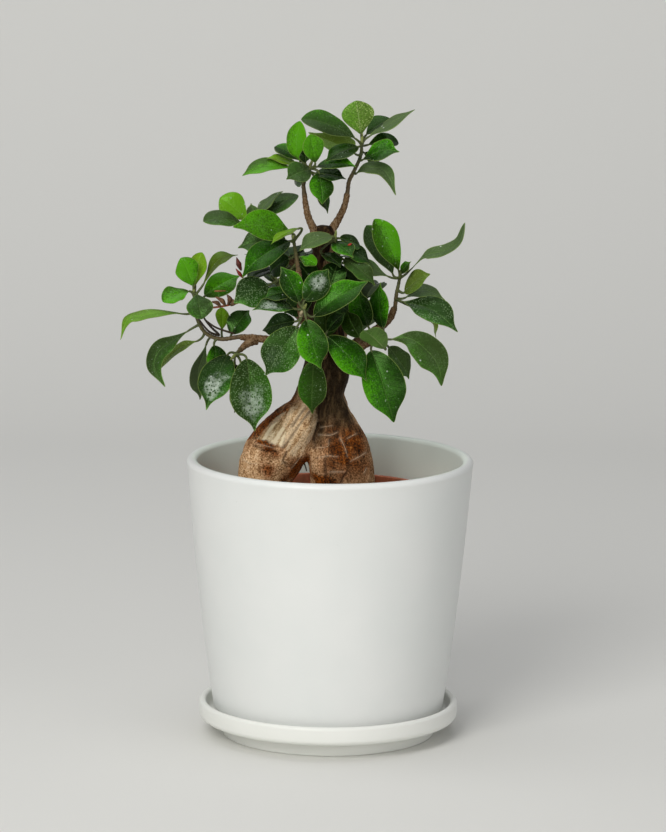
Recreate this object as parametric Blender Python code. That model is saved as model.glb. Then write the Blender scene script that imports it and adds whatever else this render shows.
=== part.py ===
# Ginseng fig bonsai: a fat-rooted fig with its leafy shoots, in a nursery pot of soil,
# set in a white glazed pot that stands on its saucer.
# Units are metres (lengths below are millimetres times MM), +Z is up, the viewer is at -Y,
# and the origin is the centre of the saucer's flat underside.

import bpy
import bmesh
import numpy as np
from math import radians, sin, cos, pi
from mathutils.bvhtree import BVHTree

MM = 0.001
GAP = 0.3                    # clearance between pieces that touch

# Saucer
SAUCER_RADIUS = 68.0
SAUCER_HEIGHT = 18.0
SAUCER_WALL = 3.6
SAUCER_FOOT_RADIUS = 56.0
SAUCER_FOOT_HEIGHT = 8.0
SAUCER_FLOOR = 10.6

# Outer pot
POT_BOTTOM = SAUCER_FLOOR + GAP
POT_TOP = 147.1
POT_RADIUS = 75.0
POT_WALL = 5.6
POT_FOOT_RADIUS = 60.0
POT_BOW = 1.2                # how far the wall swells past a straight taper
POT_CORNER = 6.0
POT_FLOOR = 6.0
POT_DRAIN_RADIUS = 8.0

# Nursery pot
NURSERY_BOTTOM = POT_BOTTOM + POT_FLOOR + GAP
NURSERY_TOP = 127.5
NURSERY_RADIUS = 59.6
NURSERY_FOOT_RADIUS = 43.0
NURSERY_WALL = 1.1
NURSERY_BEAD = 1.7           # rolled rim
NURSERY_DRAINS = 6
NURSERY_DRAIN_RADIUS = 4.0
NURSERY_DRAIN_RING = 30.0

# Soil
SOIL_TOP = 118.0
SOIL_CROWN = 1.2

# Tree
SIDES_OF_ROOT = 14
TWIG_SIDES = 5
STEM_RADII = (1.3, 0.9)       # green stem, at its foot and at its tip
TURNED_SIDES = 40
ROOT_HOLE_GAP = 0.4          # clearance round a root where it stands in the soil
BLADE_THICKNESS = 0.7
BLADE_STATIONS = (0.0, 0.2, 0.44, 0.68, 0.87, 1.0)
BENT_STATIONS = (0.0, 0.13, 0.29, 0.45, 0.61, 0.77, 0.9, 1.0)
BLADE_TIP_HALF = 0.35
POINT_START = 0.62           # share of the blade's length where it starts to draw in to a point
POINT_DRAW = 0.42            # how much narrower the point is than a plain oval
STALK_HALF = 0.5             # half the thickness of a leaf's stalk
STALK_START = 2.5            # nearest that a stalk leaves the stem to the stem's woody end
CLEAR = 0.35                 # extra shell on a leaf while it is tested against its neighbours

# The tree's points are listed as they line up with the plane y = 0 for a viewer at this eye,
# as (x, z), with their own depth y beside them. sighted() carries them to that depth.
EYE = np.array([1.3, -2553.5, 636.8])


def sighted(x, z, depth):
    share = (depth - EYE[1]) / -EYE[1]
    return EYE + (np.array([x, 0.0, z]) - EYE) * share


def material(name, colour, roughness, metallic=0.0):
    made = bpy.data.materials.new(name)
    made.use_nodes = True
    shader = made.node_tree.nodes["Principled BSDF"]
    shader.inputs["Base Color"].default_value = (*colour, 1.0)
    shader.inputs["Roughness"].default_value = roughness
    shader.inputs["Metallic"].default_value = metallic
    return made


def add_object(name, mesh, finish=None):
    made = bpy.data.objects.new(name, mesh)
    bpy.context.scene.collection.objects.link(made)
    if finish:
        mesh.materials.append(finish)
    return made


def add_shape(name, shape, finish=None):
    points, faces = shape
    mesh = bpy.data.meshes.new(name)
    mesh.from_pydata((np.asarray(points) * MM).tolist(), [], faces)
    mesh.update()
    return add_object(name, mesh, finish)


def arc(centre_r, centre_z, radius, start, end, steps):
    # points on an arc in the (r, z) plane, with angles in degrees from +r towards +z
    angles = [radians(start + (end - start) * k / steps) for k in range(steps + 1)]
    return [(centre_r + radius * cos(a), centre_z + radius * sin(a)) for a in angles]


def turned(name, profile, segments, finish, closed=False):
    # spins a profile of (r, z) points in millimetres about the Z axis
    bm = bmesh.new()
    verts = [bm.verts.new((r * MM, 0, z * MM)) for r, z in profile]
    pairs = list(zip(verts, verts[1:]))
    if closed:
        pairs.append((verts[-1], verts[0]))
    edges = [bm.edges.new(pair) for pair in pairs]
    bmesh.ops.spin(bm, geom=verts + edges, cent=(0, 0, 0), axis=(0, 0, 1),
                   angle=2 * pi, steps=segments, use_merge=True)
    bmesh.ops.remove_doubles(bm, verts=bm.verts, dist=1e-6)
    bmesh.ops.recalc_face_normals(bm, faces=bm.faces)
    mesh = bpy.data.meshes.new(name)
    bm.to_mesh(mesh)
    bm.free()
    mesh.shade_smooth()
    mesh.set_sharp_from_angle(angle=radians(40))
    return add_object(name, mesh, finish)


def make_saucer(finish):
    lip = SAUCER_WALL / 2
    corner = 3.2
    inner = SAUCER_RADIUS - SAUCER_WALL
    profile = [(0, 0), (SAUCER_FOOT_RADIUS - 0.8, 0), (SAUCER_FOOT_RADIUS, 0.8),
               (SAUCER_FOOT_RADIUS, SAUCER_FOOT_HEIGHT)]
    profile += arc(SAUCER_RADIUS - corner, SAUCER_FOOT_HEIGHT + corner, corner, -90, 0, 2)
    profile += arc(SAUCER_RADIUS - lip, SAUCER_HEIGHT - lip, lip, 0, 180, 4)
    profile += [(inner, SAUCER_FLOOR + 2), (inner - 2, SAUCER_FLOOR), (0, SAUCER_FLOOR)]
    turned("saucer", profile, TURNED_SIDES, finish)


def pot_radius(z):
    # outer wall: a straight taper from foot to lip, swelling by POT_BOW at mid height
    t = (z - POT_BOTTOM) / (POT_TOP - POT_BOTTOM)
    return POT_FOOT_RADIUS + (POT_RADIUS - POT_FOOT_RADIUS) * t + POT_BOW * 4 * t * (1 - t)


def make_pot(finish):
    lip = POT_WALL / 2
    floor = POT_BOTTOM + POT_FLOOR
    wall_heights = (40, 75, 110)
    profile = [(POT_DRAIN_RADIUS, POT_BOTTOM)]
    profile += arc(pot_radius(POT_BOTTOM + POT_CORNER) - POT_CORNER, POT_BOTTOM + POT_CORNER,
                   POT_CORNER, -90, -8, 3)
    profile += [(pot_radius(z), z) for z in wall_heights]
    profile += arc(POT_RADIUS - lip, POT_TOP - lip, lip, 0, 180, 4)
    profile += [(pot_radius(z) - POT_WALL, z) for z in (wall_heights[1], floor + 5)]
    profile += [(pot_radius(floor) - POT_WALL - 4, floor), (POT_DRAIN_RADIUS, floor)]
    turned("pot", profile, TURNED_SIDES, finish, closed=True)


def nursery_radius(z):
    t = (z - NURSERY_BOTTOM) / (NURSERY_TOP - NURSERY_BOTTOM)
    return NURSERY_FOOT_RADIUS + (NURSERY_RADIUS - NURSERY_BEAD - NURSERY_FOOT_RADIUS) * t


def make_nursery_pot(finish):
    bead_low = NURSERY_TOP - 7
    floor = NURSERY_BOTTOM + NURSERY_WALL
    inner_top = NURSERY_RADIUS - NURSERY_BEAD - NURSERY_WALL
    profile = [(0, NURSERY_BOTTOM), (NURSERY_FOOT_RADIUS, NURSERY_BOTTOM),
               (nursery_radius(bead_low), bead_low), (NURSERY_RADIUS, bead_low + 0.6),
               (NURSERY_RADIUS, NURSERY_TOP - 0.8), (NURSERY_RADIUS - 0.8, NURSERY_TOP),
               (inner_top + 0.6, NURSERY_TOP), (inner_top, NURSERY_TOP - 0.8),
               (nursery_radius(floor) - NURSERY_WALL, floor), (0, floor)]
    pot = turned("nursery_pot", profile, TURNED_SIDES, finish)
    bm = bmesh.new()
    for k in range(NURSERY_DRAINS):
        turn = 2 * pi * k / NURSERY_DRAINS
        made = bmesh.ops.create_cone(bm, cap_ends=True, segments=8, depth=6 * MM,
                                     radius1=NURSERY_DRAIN_RADIUS * MM,
                                     radius2=NURSERY_DRAIN_RADIUS * MM)
        place = (NURSERY_DRAIN_RING * cos(turn) * MM, NURSERY_DRAIN_RING * sin(turn) * MM,
                 NURSERY_BOTTOM * MM)
        bmesh.ops.translate(bm, verts=made["verts"], vec=place)
    mesh = bpy.data.meshes.new("drain_cutter")
    bm.to_mesh(mesh)
    bm.free()
    cut_with(pot, add_object("drain_cutter", mesh))


def cut_with(target, cutter):
    cutter.hide_render = True
    cutter.display_type = "WIRE"
    cut = target.modifiers.new("cut_" + cutter.name, "BOOLEAN")
    cut.operation = "DIFFERENCE"
    cut.object = cutter


def loft(rings):
    # closed mesh through rings with the same number of points, listed counter-clockwise
    # about the direction from the first ring to the last
    count = len(rings[0])
    points = np.concatenate(rings)
    faces = [list(range(count))[::-1]]
    for k in range(len(rings) - 1):
        low, high = k * count, (k + 1) * count
        for i in range(count):
            j = (i + 1) % count
            faces.append([low + i, low + j, high + j])
            faces.append([low + i, high + j, high + i])
    last = (len(rings) - 1) * count
    faces.append([last + i for i in range(count)])
    return points, faces


def root_limb(rows, grow=0.0):
    # a fat root or trunk through level sections; each row is height, centre x and y, half
    # width and half depth. Three shallow flutes wind slowly round it.
    angles = np.arange(SIDES_OF_ROOT) * 2 * pi / SIDES_OF_ROOT
    rings = []
    for z, cx, cy, half_x, half_y in rows:
        flute = 1 + 0.045 * np.cos(3 * angles + 0.05 * z) + 0.02 * np.cos(5 * angles - 0.08 * z)
        ring = np.stack([cx + (half_x * flute + grow) * np.cos(angles),
                         cy + (half_y * flute + grow) * np.sin(angles),
                         np.full(SIDES_OF_ROOT, float(z))], axis=1)
        rings.append(ring)
    rings[0][:, 2] -= grow
    return loft(rings)


def tube(path, radii, sides):
    # round tube along a path, its sections carried along without twisting
    path = np.asarray(path, float)
    tangents = np.gradient(path, axis=0)
    tangents /= np.linalg.norm(tangents, axis=1)[:, None]
    side = np.cross(tangents[0], (0.31, 0.87, 0.39))
    angles = np.arange(sides) * 2 * pi / sides
    rings = []
    for point, tangent, radius in zip(path, tangents, radii):
        side = side - tangent * (side @ tangent)
        side /= np.linalg.norm(side)
        other = np.cross(tangent, side)
        ring = np.outer(np.cos(angles), side) + np.outer(np.sin(angles), other)
        rings.append(point + ring * radius)
    return loft(rings)


def smooth_path(points, count):
    # Catmull-Rom curve through the points, read at count even steps of its parameter
    points = np.asarray(points, float)
    if len(points) == 2:
        return points[0] + np.linspace(0, 1, count)[:, None] * (points[1] - points[0])
    padded = np.vstack([2 * points[0] - points[1], points, 2 * points[-1] - points[-2]])
    at = np.linspace(0, len(points) - 1, count)
    k = np.minimum(at.astype(int), len(points) - 2)
    t = (at - k)[:, None]
    a, b, c, d = padded[k], padded[k + 1], padded[k + 2], padded[k + 3]
    return 0.5 * (2 * b + (c - a) * t + (2 * a - 5 * b + 4 * c - d) * t ** 2
                  + (3 * b - a - 3 * c + d) * t ** 3)


# Roots and trunk: rows of height, centre x, centre y, half width, half depth.
LIMBS = {
    "left_root": [(102, -34, -2, 4, 4), (112, -35, -3, 6.5, 6.5), (122, -36, -4, 9.6, 9),
                  (131, -35.4, -4, 12.7, 11), (138, -33.2, -4, 15.2, 14), (145, -31, -4, 17, 16),
                  (152, -28, -4, 18, 17), (159, -25, -4, 17.4, 16.6), (165, -21.5, -4, 15.6, 15.4),
                  (171, -17.5, -3.5, 13, 13.8), (177, -12, -3, 9.5, 12), (184, -7, -2, 6, 9)],
    "right_root": [(101, 5, 0, 6, 6), (111, 6, -1, 10, 9), (122, 6.5, -2, 14, 12.5),
                   (132, 6.4, -2, 16.1, 15), (140, 5.6, -2, 16.8, 16.4), (148, 4.8, -2, 16.6, 16.6),
                   (155, 4.6, -2, 15.2, 15.6), (162, 4.6, -1.5, 12.6, 14.4), (168, 3, -1, 10.6, 13),
                   (174, 1, -1, 8.6, 11.6), (181, 0, -1, 7, 9)],
    "back_root": [(103, 12, 26, 4, 4), (115, 11, 25, 6.5, 6.5), (128, 8, 22, 8.5, 8.5),
                  (140, 4, 17, 9.5, 9.5), (152, 0, 11, 10, 10), (164, -3, 6, 9, 9), (176, -4, 2, 7, 8)],
    "trunk": [(168, -9, -1.5, 12.6, 11.5), (175, -7.6, -1, 14, 12.4), (181, -5.6, -0.5, 13, 12),
              (188, -3, 0, 12.6, 11.6), (196, -1.6, 0, 12, 11), (206, -2.4, 0, 10.6, 10),
              (220, -3.4, 0, 9, 8.8), (240, -4.2, 0, 7.4, 7.4), (256, -4.6, 0, 6.2, 6.2),
              (266, -4.7, 0, 5.8, 5.8), (269.4, -4.7, 0, 4.2, 4.2)],
}

# Woody branches: sighted points (x, z, depth) from inside the trunk to the cut or green end,
# with the radius at each end.
BRANCHES = {
    "A": ([(-3, 263, 1), (3.2, 273, 2), (6.3, 280, 3), (7.8, 287, 3)], 2.1, 1.35),
    "B": ([(-7, 262, -1), (-12, 273, -4), (-13.6, 279, -5), (-14.7, 287, -6)], 2.1, 1.3),
    "C": ([(-5, 240, 0), (-16, 248, -4), (-30, 255, -6), (-39, 262, -6)], 2.4, 1.3),
    "E": ([(-4, 246, -3), (-1, 253, -9), (1, 260, -13)], 1.8, 1.2),
    "F": ([(3, 200, 0), (18, 211, 3), (29.5, 220, 3), (33, 227, 2)], 3.4, 1.6),
    "G": ([(3, 198, -4), (12, 204, -14), (20, 208, -20), (23, 209, -24)], 3.0, 1.5),
    "H": ([(-4, 212, -4), (-11, 217, -24), (-15.4, 223, -35), (-16.3, 234, -33),
           (-17.5, 247, -26)], 2.8, 1.3),
    "I": ([(-6, 203, -4), (-20, 207, -9), (-36, 209.6, -11), (-48, 210.5, -12)], 3.2, 1.5),
    "O": ([(-40, 209.3, -11), (-45, 206, -15), (-48, 203, -19)], 1.8, 1.2),
    "N": ([(-3, 200, -4), (-5, 203, -18), (-6, 205, -26)], 2.0, 1.2),
    "J": ([(-5, 210, 3), (-16, 221, 16), (-22, 231, 26)], 2.8, 1.4),
    "K": ([(0, 206, 3), (8, 215, 18), (13, 224, 28)], 2.8, 1.4),
    "L": ([(-4, 222, 4), (-5, 232, 22), (-6, 242, 34)], 2.4, 1.3),
    "M": ([(-4.5, 232, 3), (-12, 240, 9), (-19, 245, 12)], 2.0, 1.2),
    "P": ([(-3, 196, 4), (-7, 203, 20), (-8, 208, 31)], 2.4, 1.3),
    "Q": ([(-4, 227, -3), (-4, 230, -10), (-4.4, 232, -14)], 1.9, 1.2),
}

# Leafy shoots seen from the front. stem: sighted points of the green stem past the wood.
# Each leaf: sighted midrib points from blade base to tip, blade width, depth of base and of
# tip, the face angle, and the arch. At face angle 0 the upper side looks at the viewer, at 90
# up (right, if the leaf hangs or stands), at 180 away. The arch is the bow towards the upper
# side as a share of the length.
SHOOTS = {
    "shoot_front": ("H", [(-15.2, 224, -37.5), (-14.2, 226, -41)], [
        ([(-13, 220), (-6, 194)], 16, -44, -47, 4, 0.06),
        ([(-9, 222), (19, 240)], 15, -43, -36, 30, 0.10),
        ([(-14, 230), (-2, 247)], 14, -41, -38, -18, 0.06),
        ([(-17, 229), (-26, 248)], 13, -41, -36, 28, 0.06),
        ([(-18, 216), (-34, 190)], 20, -40, -40, 6, 0.08),
        ([(-20, 226), (-41, 225)], 13, -39, -46, 56, 0.08),
        ([(-21, 235), (-35, 231)], 12, -35, -40, 50, 0.06),
        ([(-19, 219), (-36, 214)], 14, -35, -31, 44, 0.06),
    ]),
    "shoot_low_front": ("N", [(-6, 205.1, -26.4), (-5, 206.5, -30), (-4, 208, -34)], [
        ([(-9, 199), (-10, 170)], 15, -34, -33, -8, 0.04),
        ([(-2, 211), (19, 188)], 17, -36, -42, 26, 0.10),
        ([(-2, 214), (7, 224)], 9, -30, -26, 35, 0.05),
    ]),
    "shoot_right_low": ("G", [(23.3, 209.2, -24.5), (25, 210, -28), (26, 211, -32)], [
        ([(21, 204), (33, 166)], 22, -30, -40, 8, 0.08),
        ([(31, 210), (42, 210), (51, 203), (56, 196), (59, 187)], 18, -27, -36, 30, 0.0),
        ([(30, 206), (41, 189)], 14, -22, -20, 42, 0.06),
        ([(28, 205), (16, 215)], 13, -33, -46, 146, 0.08),
        ([(27, 216), (25, 240)], 14, -22, -18, -44, 0.06),
        ([(19, 217), (14, 236)], 15, -22, -22, -36, 0.06),
        ([(15, 211), (8, 225)], 12, -27, -28, -30, 0.06),
    ]),
    "shoot_inner": ("Q", [(-4.5, 232.4, -14.6), (-5, 234, -17.5), (-5.5, 236, -20)], [
        ([(-1, 237), (4, 252)], 13, -18, -13, 12, 0.05),
        ([(-9, 238), (-18, 251)], 13, -17, -12, 20, 0.05),
        ([(-1, 231), (12, 222)], 14, -19, -15, 26, 0.06),
        ([(-4, 229), (-3, 209)], 14, -19, -19, 12, 0.05),
        ([(-10, 231), (-25, 224)], 14, -19, -16, 30, 0.06),
        ([(-10, 235), (-28, 240)], 13, -18, -14, 34, 0.06),
        ([(0, 234), (14, 238)], 12, -18, -13, 38, 0.06),
    ]),
    "shoot_left": ("I", [(-48.6, 210.5, -12.1), (-58, 209.4, -12.3), (-66, 213, -12.5),
                         (-70.5, 222, -12), (-71.6, 234, -12)], [
        ([(-72, 237), (-78, 252)], 13, -13, -17, 14, 0.06),
        ([(-71, 237), (-68, 255)], 12, -9, -6, -38, 0.04),
        ([(-74, 234.5), (-88, 229)], 13, -13, -20, 46, 0.08),
        ([(-70, 233), (-68, 220)], 14, -16, -26, 6, 0.08),
        ([(-67, 238), (-59, 251), (-49, 254)], 10, -10, -7, 56, 0.0),
        ([(-66, 232), (-48, 243)], 15, -8, 2, 34, 0.08),
        ([(-76, 222.5), (-88, 223), (-99, 221), (-106, 219), (-110, 209)], 11, -14, -24, 62, 0.0),
        ([(-74, 214), (-83, 208), (-90, 202), (-92, 194), (-87, 184)], 12, -14, -26, 38, 0.0),
        ([(-69.5, 208.5), (-80, 203.5), (-91, 192)], 9, -9, -4, 62, 0.0),
        ([(-65, 206.5), (-69.5, 191), (-67, 177)], 12, -7, 0, 40, 0.0),
        ([(-61, 206), (-60, 190)], 13, -14, -16, 34, 0.05),
        ([(-57, 214), (-57, 226)], 8, -6, -2, 26, 0.05),
        ([(-52, 212), (-43, 225)], 13, -10, -3, 28, 0.06),
    ]),
    "shoot_left_low": ("O", [(-48.3, 202.8, -20), (-50, 201, -23)], [
        ([(-44, 199), (-40, 160.5)], 22, -28, -38, 6, 0.08),
        ([(-54, 201), (-65, 172)], 18, -21, -24, 30, 0.08),
        ([(-50, 196), (-50, 170)], 14, -17, -15, 52, 0.05),
        ([(-47, 197), (-47, 183)], 9, -22, -24, 46, 0.05),
    ]),
    "shoot_upper_front": ("H", [(-17.6, 247.6, -25.6), (-19, 256, -19), (-20, 262, -15)], [
        ([(-22, 261), (-47, 243)], 17, -18, -27, 40, 0.10),
        ([(-20, 265), (-34, 269), (-51, 270)], 17, -14, -20, 26, 0.0),
        ([(-26, 261), (-49, 258)], 16, -12, -14, 32, 0.08),
        ([(-17, 253), (-8, 249)], 8, -21, -26, 36, 0.06),
        ([(-33, 238), (-51, 229)], 17, -21, -28, 12, 0.06),
        ([(-22, 252), (-33, 244)], 13, -18, -14, 40, 0.06),
        ([(-17.5, 268), (-32, 260)], 10, -24, -32, 72, 0.05),
    ]),
    "shoot_centre": ("E", [(1.1, 260.5, -13.4), (1.5, 263, -15)], [
        ([(0, 264), (-17, 257)], 12, -17, -24, 48, 0.08),
        ([(1, 261), (11, 253)], 12, -17, -25, 42, 0.06),
        ([(-5, 255), (5, 248)], 10, -18, -27, 56, 0.06),
        ([(4, 263), (16, 258)], 11, -13, -8, 58, 0.06),
        ([(6, 259), (20, 250)], 12, -12, -12, 48, 0.06),
        ([(6, 252), (23, 239)], 12, -16, -22, 44, 0.06),
    ]),
    "shoot_right": ("F", [(33.2, 227.7, 2), (33.8, 234, 2), (34.8, 239, 2), (35.5, 243, 2)], [
        ([(35, 246), (22, 273)], 16, 0, -7, 32, 0.06),
        ([(32, 244), (18, 270)], 16, 5, 9, 30, 0.06),
        ([(39, 245), (47, 253), (51, 255), (59, 257), (66, 262), (68, 272)], 10, 2, -6, 62, 0.0),
        ([(36, 245), (41, 251)], 6, 0, -4, 40, 0.05),
        ([(38, 235), (51, 245)], 14, 1, -6, 50, 0.08),
        ([(38, 232), (48, 236), (59, 232)], 13, 4, 2, 60, 0.0),
        ([(37, 230), (52, 226), (66, 215)], 17, -2, -20, 38, 0.0),
        ([(38, 229), (52, 221), (55, 211)], 8, 6, 9, 64, 0.0),
        ([(30, 243), (18, 248), (5, 251)], 12, -3, -16, 52, 0.0),
    ]),
    "shoot_upper_left": ("C", [(-39.6, 262.5, -6), (-41.5, 266, -6)], [
        ([(-44, 272), (-58, 284)], 15, -5, -4, 16, 0.06),
        ([(-46, 270), (-67, 272)], 14, -8, -15, 54, 0.08),
        ([(-40, 273), (-26, 288)], 12, -3, 3, 68, 0.05),
        ([(-38, 271), (-18, 286)], 14, 0, 6, 50, 0.06),
        ([(-42, 272), (-42, 281)], 7, -2, -2, 26, 0.05),
        ([(-36, 264), (-22, 258)], 13, -4, 4, 50, 0.06),
    ]),
    "shoot_top_right": ("A", [(7.9, 288, 3), (8.6, 293, 3), (11, 298, 3), (14.4, 306, 3),
                              (15, 313, 3)], [
        ([(14.6, 317), (12, 335)], 17, 3, 4, 180, -0.06),
        ([(12, 315), (-16, 326)], 15, 0, -5, 42, 0.08),
        ([(18, 316), (30, 323), (42, 331)], 12, 5, 8, 66, 0.0),
        ([(17, 317), (30, 326)], 13, 8, 15, 44, 0.06),
        ([(18, 312), (34, 314)], 12, 8, 13, 48, 0.06),
        ([(15, 304), (25, 309), (34, 309)], 14, 0, -8, 44, 0.0),
        ([(12, 297), (18, 300), (27, 298), (33, 286)], 11, 2, -6, 50, 0.0),
        ([(13, 311), (-4, 303)], 12, -2, -14, 46, 0.08),
        ([(12, 307), (5, 311), (-13, 318)], 13, 5, 9, 32, 0.0),
        ([(16, 308), (24, 300)], 12, 8, 20, 40, 0.06),
    ]),
    "shoot_top_left": ("B", [(-14.8, 288, -6), (-15, 291, -6), (-13.6, 296, -6), (-12, 300, -6)], [
        ([(-17, 302), (-19, 311), (-17, 324)], 12, -5, -7, -32, 0.0),
        ([(-9, 302), (-12, 317)], 12, -9, -14, 18, 0.05),
        ([(-16, 303), (-30, 311)], 12, -3, 1, 52, 0.06),
        ([(-18, 301), (-34, 305)], 9, -7, -11, 62, 0.05),
        ([(-20, 300), (-35, 300.5), (-47, 296)], 13, -7, -14, 58, 0.0),
        ([(-12, 299), (-24, 294)], 13, -9, -19, 24, 0.06),
        ([(-7, 297), (-5, 281)], 13, -8, -16, 16, 0.06),
        ([(-10, 296), (-2, 276)], 11, -4, 3, 54, 0.05),
        ([(-14, 302), (-15, 309)], 7, -10, -13, 26, 0.05),
        ([(-8, 300.5), (12, 301)], 11, -8, -13, 56, 0.08),
        ([(-9, 297), (7, 294)], 11, -6, -9, 54, 0.06),
        ([(-13, 299), (-20, 291)], 10, 0, 10, 40, 0.06),
    ]),
}

# Rows of the shoots above whose leaves are blunt.
BLUNT = {
    "shoot_left": (0, 1, 2, 3, 11),
    "shoot_upper_front": (3,),
    "shoot_upper_left": (0, 1, 3),
    "shoot_right": (0, 1, 2),
    "shoot_top_right": (0, 1, 3, 4, 9),
    "shoot_top_left": (0, 1, 2, 8),
}

# Shoots on the far side: the stem goes on past the wood by this much (x, z, depth), and the
# leaves follow a spiral of 137.5 degrees round it.
BACK_SHOOTS = {
    "shoot_back_left": ("J", (-6, 9, 9), 11, 11),
    "shoot_back_right": ("K", (5, 9, 9), 11, 12),
    "shoot_back": ("L", (0, 8, 11), 11, 13),
    "shoot_back_top": ("M", (-6, 5, 3), 8, 14),
    "shoot_back_low": ("P", (-1, 6, 10), 10, 15),
}
SPIRAL = 137.5
BACK_LENGTH = (26, 36)
BACK_WIDTH_SHARE = 0.52
BACK_STALK = 5
BACK_LIFT = (-30, 50)        # degrees above level, from the lowest leaf to the highest
BACK_ARCH = 0.08
# The sighted outline of the crown that the far leaves stay behind.
CROWN = [(-32, 207), (-33, 222), (-46, 227), (-45, 256), (-36, 262), (-20, 262), (-12, 259),
         (-4, 262), (4, 260), (14, 254), (21, 245), (29, 239), (31, 226), (27, 215), (29, 205),
         (22, 200), (8, 201), (-6, 204), (-20, 204)]


def blade_half_width(u, width, blunt):
    # blunt blades are obovate on a wedge-shaped base, widest at about 0.62 of the length; the
    # others are oval and draw in to a point
    if blunt:
        return width / 2 * np.sin(pi * u ** 1.45).clip(0) ** 0.7
    draw_in = ((u - POINT_START) / (1 - POINT_START)).clip(0, 1)
    oval = np.sin(pi * u).clip(0) ** 0.6
    return width / 2 * oval * (1 - POINT_DRAW * draw_in ** 2 * (3 - 2 * draw_in))


class Leaf:
    def __init__(self, stem_point, midrib, width, normal, arch, blunt=False):
        self.stem_point = np.asarray(stem_point, float)
        self.midrib = np.asarray(midrib, float)
        self.width = width
        self.normal = normal
        self.arch = arch
        self.blunt = blunt


def blade_frame(leaf, u):
    # midrib points at the shares u of its length, after one at the stem, with the upper
    # side's direction and the sideways direction at each
    fine = smooth_path(leaf.midrib, 33)
    steps = np.linspace(0, 1, 33)
    centre = np.stack([np.interp(u, steps, fine[:, k]) for k in range(3)], axis=1)
    length = np.linalg.norm(np.diff(fine, axis=0), axis=1).sum()
    bow = leaf.arch * length * 4 * u * (1 - u)
    centre = np.vstack([leaf.stem_point, centre + bow[:, None] * leaf.normal])
    steps = np.diff(centre, axis=0)
    steps /= np.linalg.norm(steps, axis=1)[:, None]
    along = np.vstack([steps[:1], steps[1:] + steps[:-1], steps[-1:]])
    along /= np.linalg.norm(along, axis=1)[:, None]
    up = leaf.normal - along * (along @ leaf.normal)[:, None]
    up /= np.linalg.norm(up, axis=1)[:, None]
    return centre, up, np.cross(along, up)


def leaf_shape(leaf, extra=0.0):
    # one closed strip of square sections: the stalk from inside the stem, then the thin blade
    u = np.array(BENT_STATIONS if len(leaf.midrib) > 2 else BLADE_STATIONS)
    centre, up, side = blade_frame(leaf, u)
    half = blade_half_width(np.concatenate([[0.0], u]), leaf.width, leaf.blunt)
    half[:2] = STALK_HALF
    half[-1] = BLADE_TIP_HALF
    thick = np.full(len(half), BLADE_THICKNESS / 2)
    thick[:2] = STALK_HALF
    out = (half + extra)[:, None] * side
    skin = (thick + extra)[:, None] * up
    rings = np.stack([centre - out - skin, centre - out + skin,
                      centre + out + skin, centre + out - skin], axis=1)
    return loft(list(rings))


def face_normal(base, tip, face):
    # upper side's direction of a sighted leaf: the line to the eye, turned about the midrib
    along = (tip - base) / np.linalg.norm(tip - base)
    view = EYE - base
    view /= np.linalg.norm(view)
    towards = view - along * (view @ along)
    towards /= np.linalg.norm(towards)
    side = np.cross(along, towards)
    if side @ np.array([0.3, 0.0, 1.0]) < 0:
        side = -side
    return towards * cos(radians(face)) + side * sin(radians(face))


def nearest_on(path, point):
    # point of the stem nearest to the blade, away from the stem's woody end and its tip
    fine = smooth_path(path, 25)
    free = fine[np.linalg.norm(fine - fine[0], axis=1) > STALK_START][:-1]
    return free[np.argmin(np.linalg.norm(free - point, axis=1))]


def sighted_leaf(stem, row, blunt, base_shift, tip_shift, turn):
    outline, width, base_depth, tip_depth, face, arch = row
    flat = np.array(outline, float)
    run = np.concatenate([[0], np.cumsum(np.linalg.norm(np.diff(flat, axis=0), axis=1))])
    depth = base_depth + base_shift
    reach = tip_depth + tip_shift - depth
    midrib = [sighted(x, z, depth + reach * s) for (x, z), s in zip(flat, run / run[-1])]
    normal = face_normal(midrib[0], midrib[-1], face + turn)
    return Leaf(nearest_on(stem, midrib[0]), midrib, width, normal, arch, blunt)


def spiral_leaf(stem, index, count, length, azimuth, rise):
    # leaf of a far shoot: the higher on the stem, the more upright it stands
    height = index / (count - 1)
    place = smooth_path(stem, 25)[int(8 + 15 * height)]
    lift = radians(BACK_LIFT[0] + (BACK_LIFT[1] - BACK_LIFT[0]) * height + rise)
    turn = radians(azimuth)
    out = np.array([cos(turn) * cos(lift), sin(turn) * cos(lift), sin(lift)])
    base = place + out * BACK_STALK
    normal = np.array([0.0, 0.0, 1.0]) - out * out[2]
    normal /= np.linalg.norm(normal)
    width = length * BACK_WIDTH_SHARE
    return Leaf(place, [base, base + out * length], width, normal, BACK_ARCH)


def behind_crown(leaf):
    # true when the blade, sighted from the eye, stays inside the crown's outline
    points, _ = leaf_shape(leaf)
    away = points - EYE
    flat = EYE + away * (-EYE[1] / away[:, 1])[:, None]
    outline = np.array(CROWN, float)
    following = np.roll(outline, -1, axis=0)
    inside = np.zeros(len(flat), bool)
    for (x0, z0), (x1, z1) in zip(outline, following):
        spans = (flat[:, 2] < z0) != (flat[:, 2] < z1)
        at = x0 + (flat[:, 2] - z0) * (x1 - x0) / (z1 - z0 if z1 != z0 else 1e-9)
        inside ^= spans & (flat[:, 0] < at)
    return inside.all()


def tree_of(shapes):
    points, faces, start = [], [], 0
    for shape_points, shape_faces in shapes:
        points.extend(shape_points.tolist())
        faces.extend([[start + i for i in face] for face in shape_faces])
        start += len(shape_points)
    return BVHTree.FromPolygons(points, faces)


def settle(candidates, others, own):
    # the first candidate that touches neither the other nodes nor its own shoot's blades, or
    # the first clear of the other nodes, or None
    spare = None
    for leaf in candidates:
        probe = tree_of([leaf_shape(leaf, CLEAR)])
        if any(probe.overlap(other) for other in others):
            continue
        if not any(probe.overlap(mate) for mate in own):
            return leaf
        spare = spare or leaf
    return spare


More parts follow.
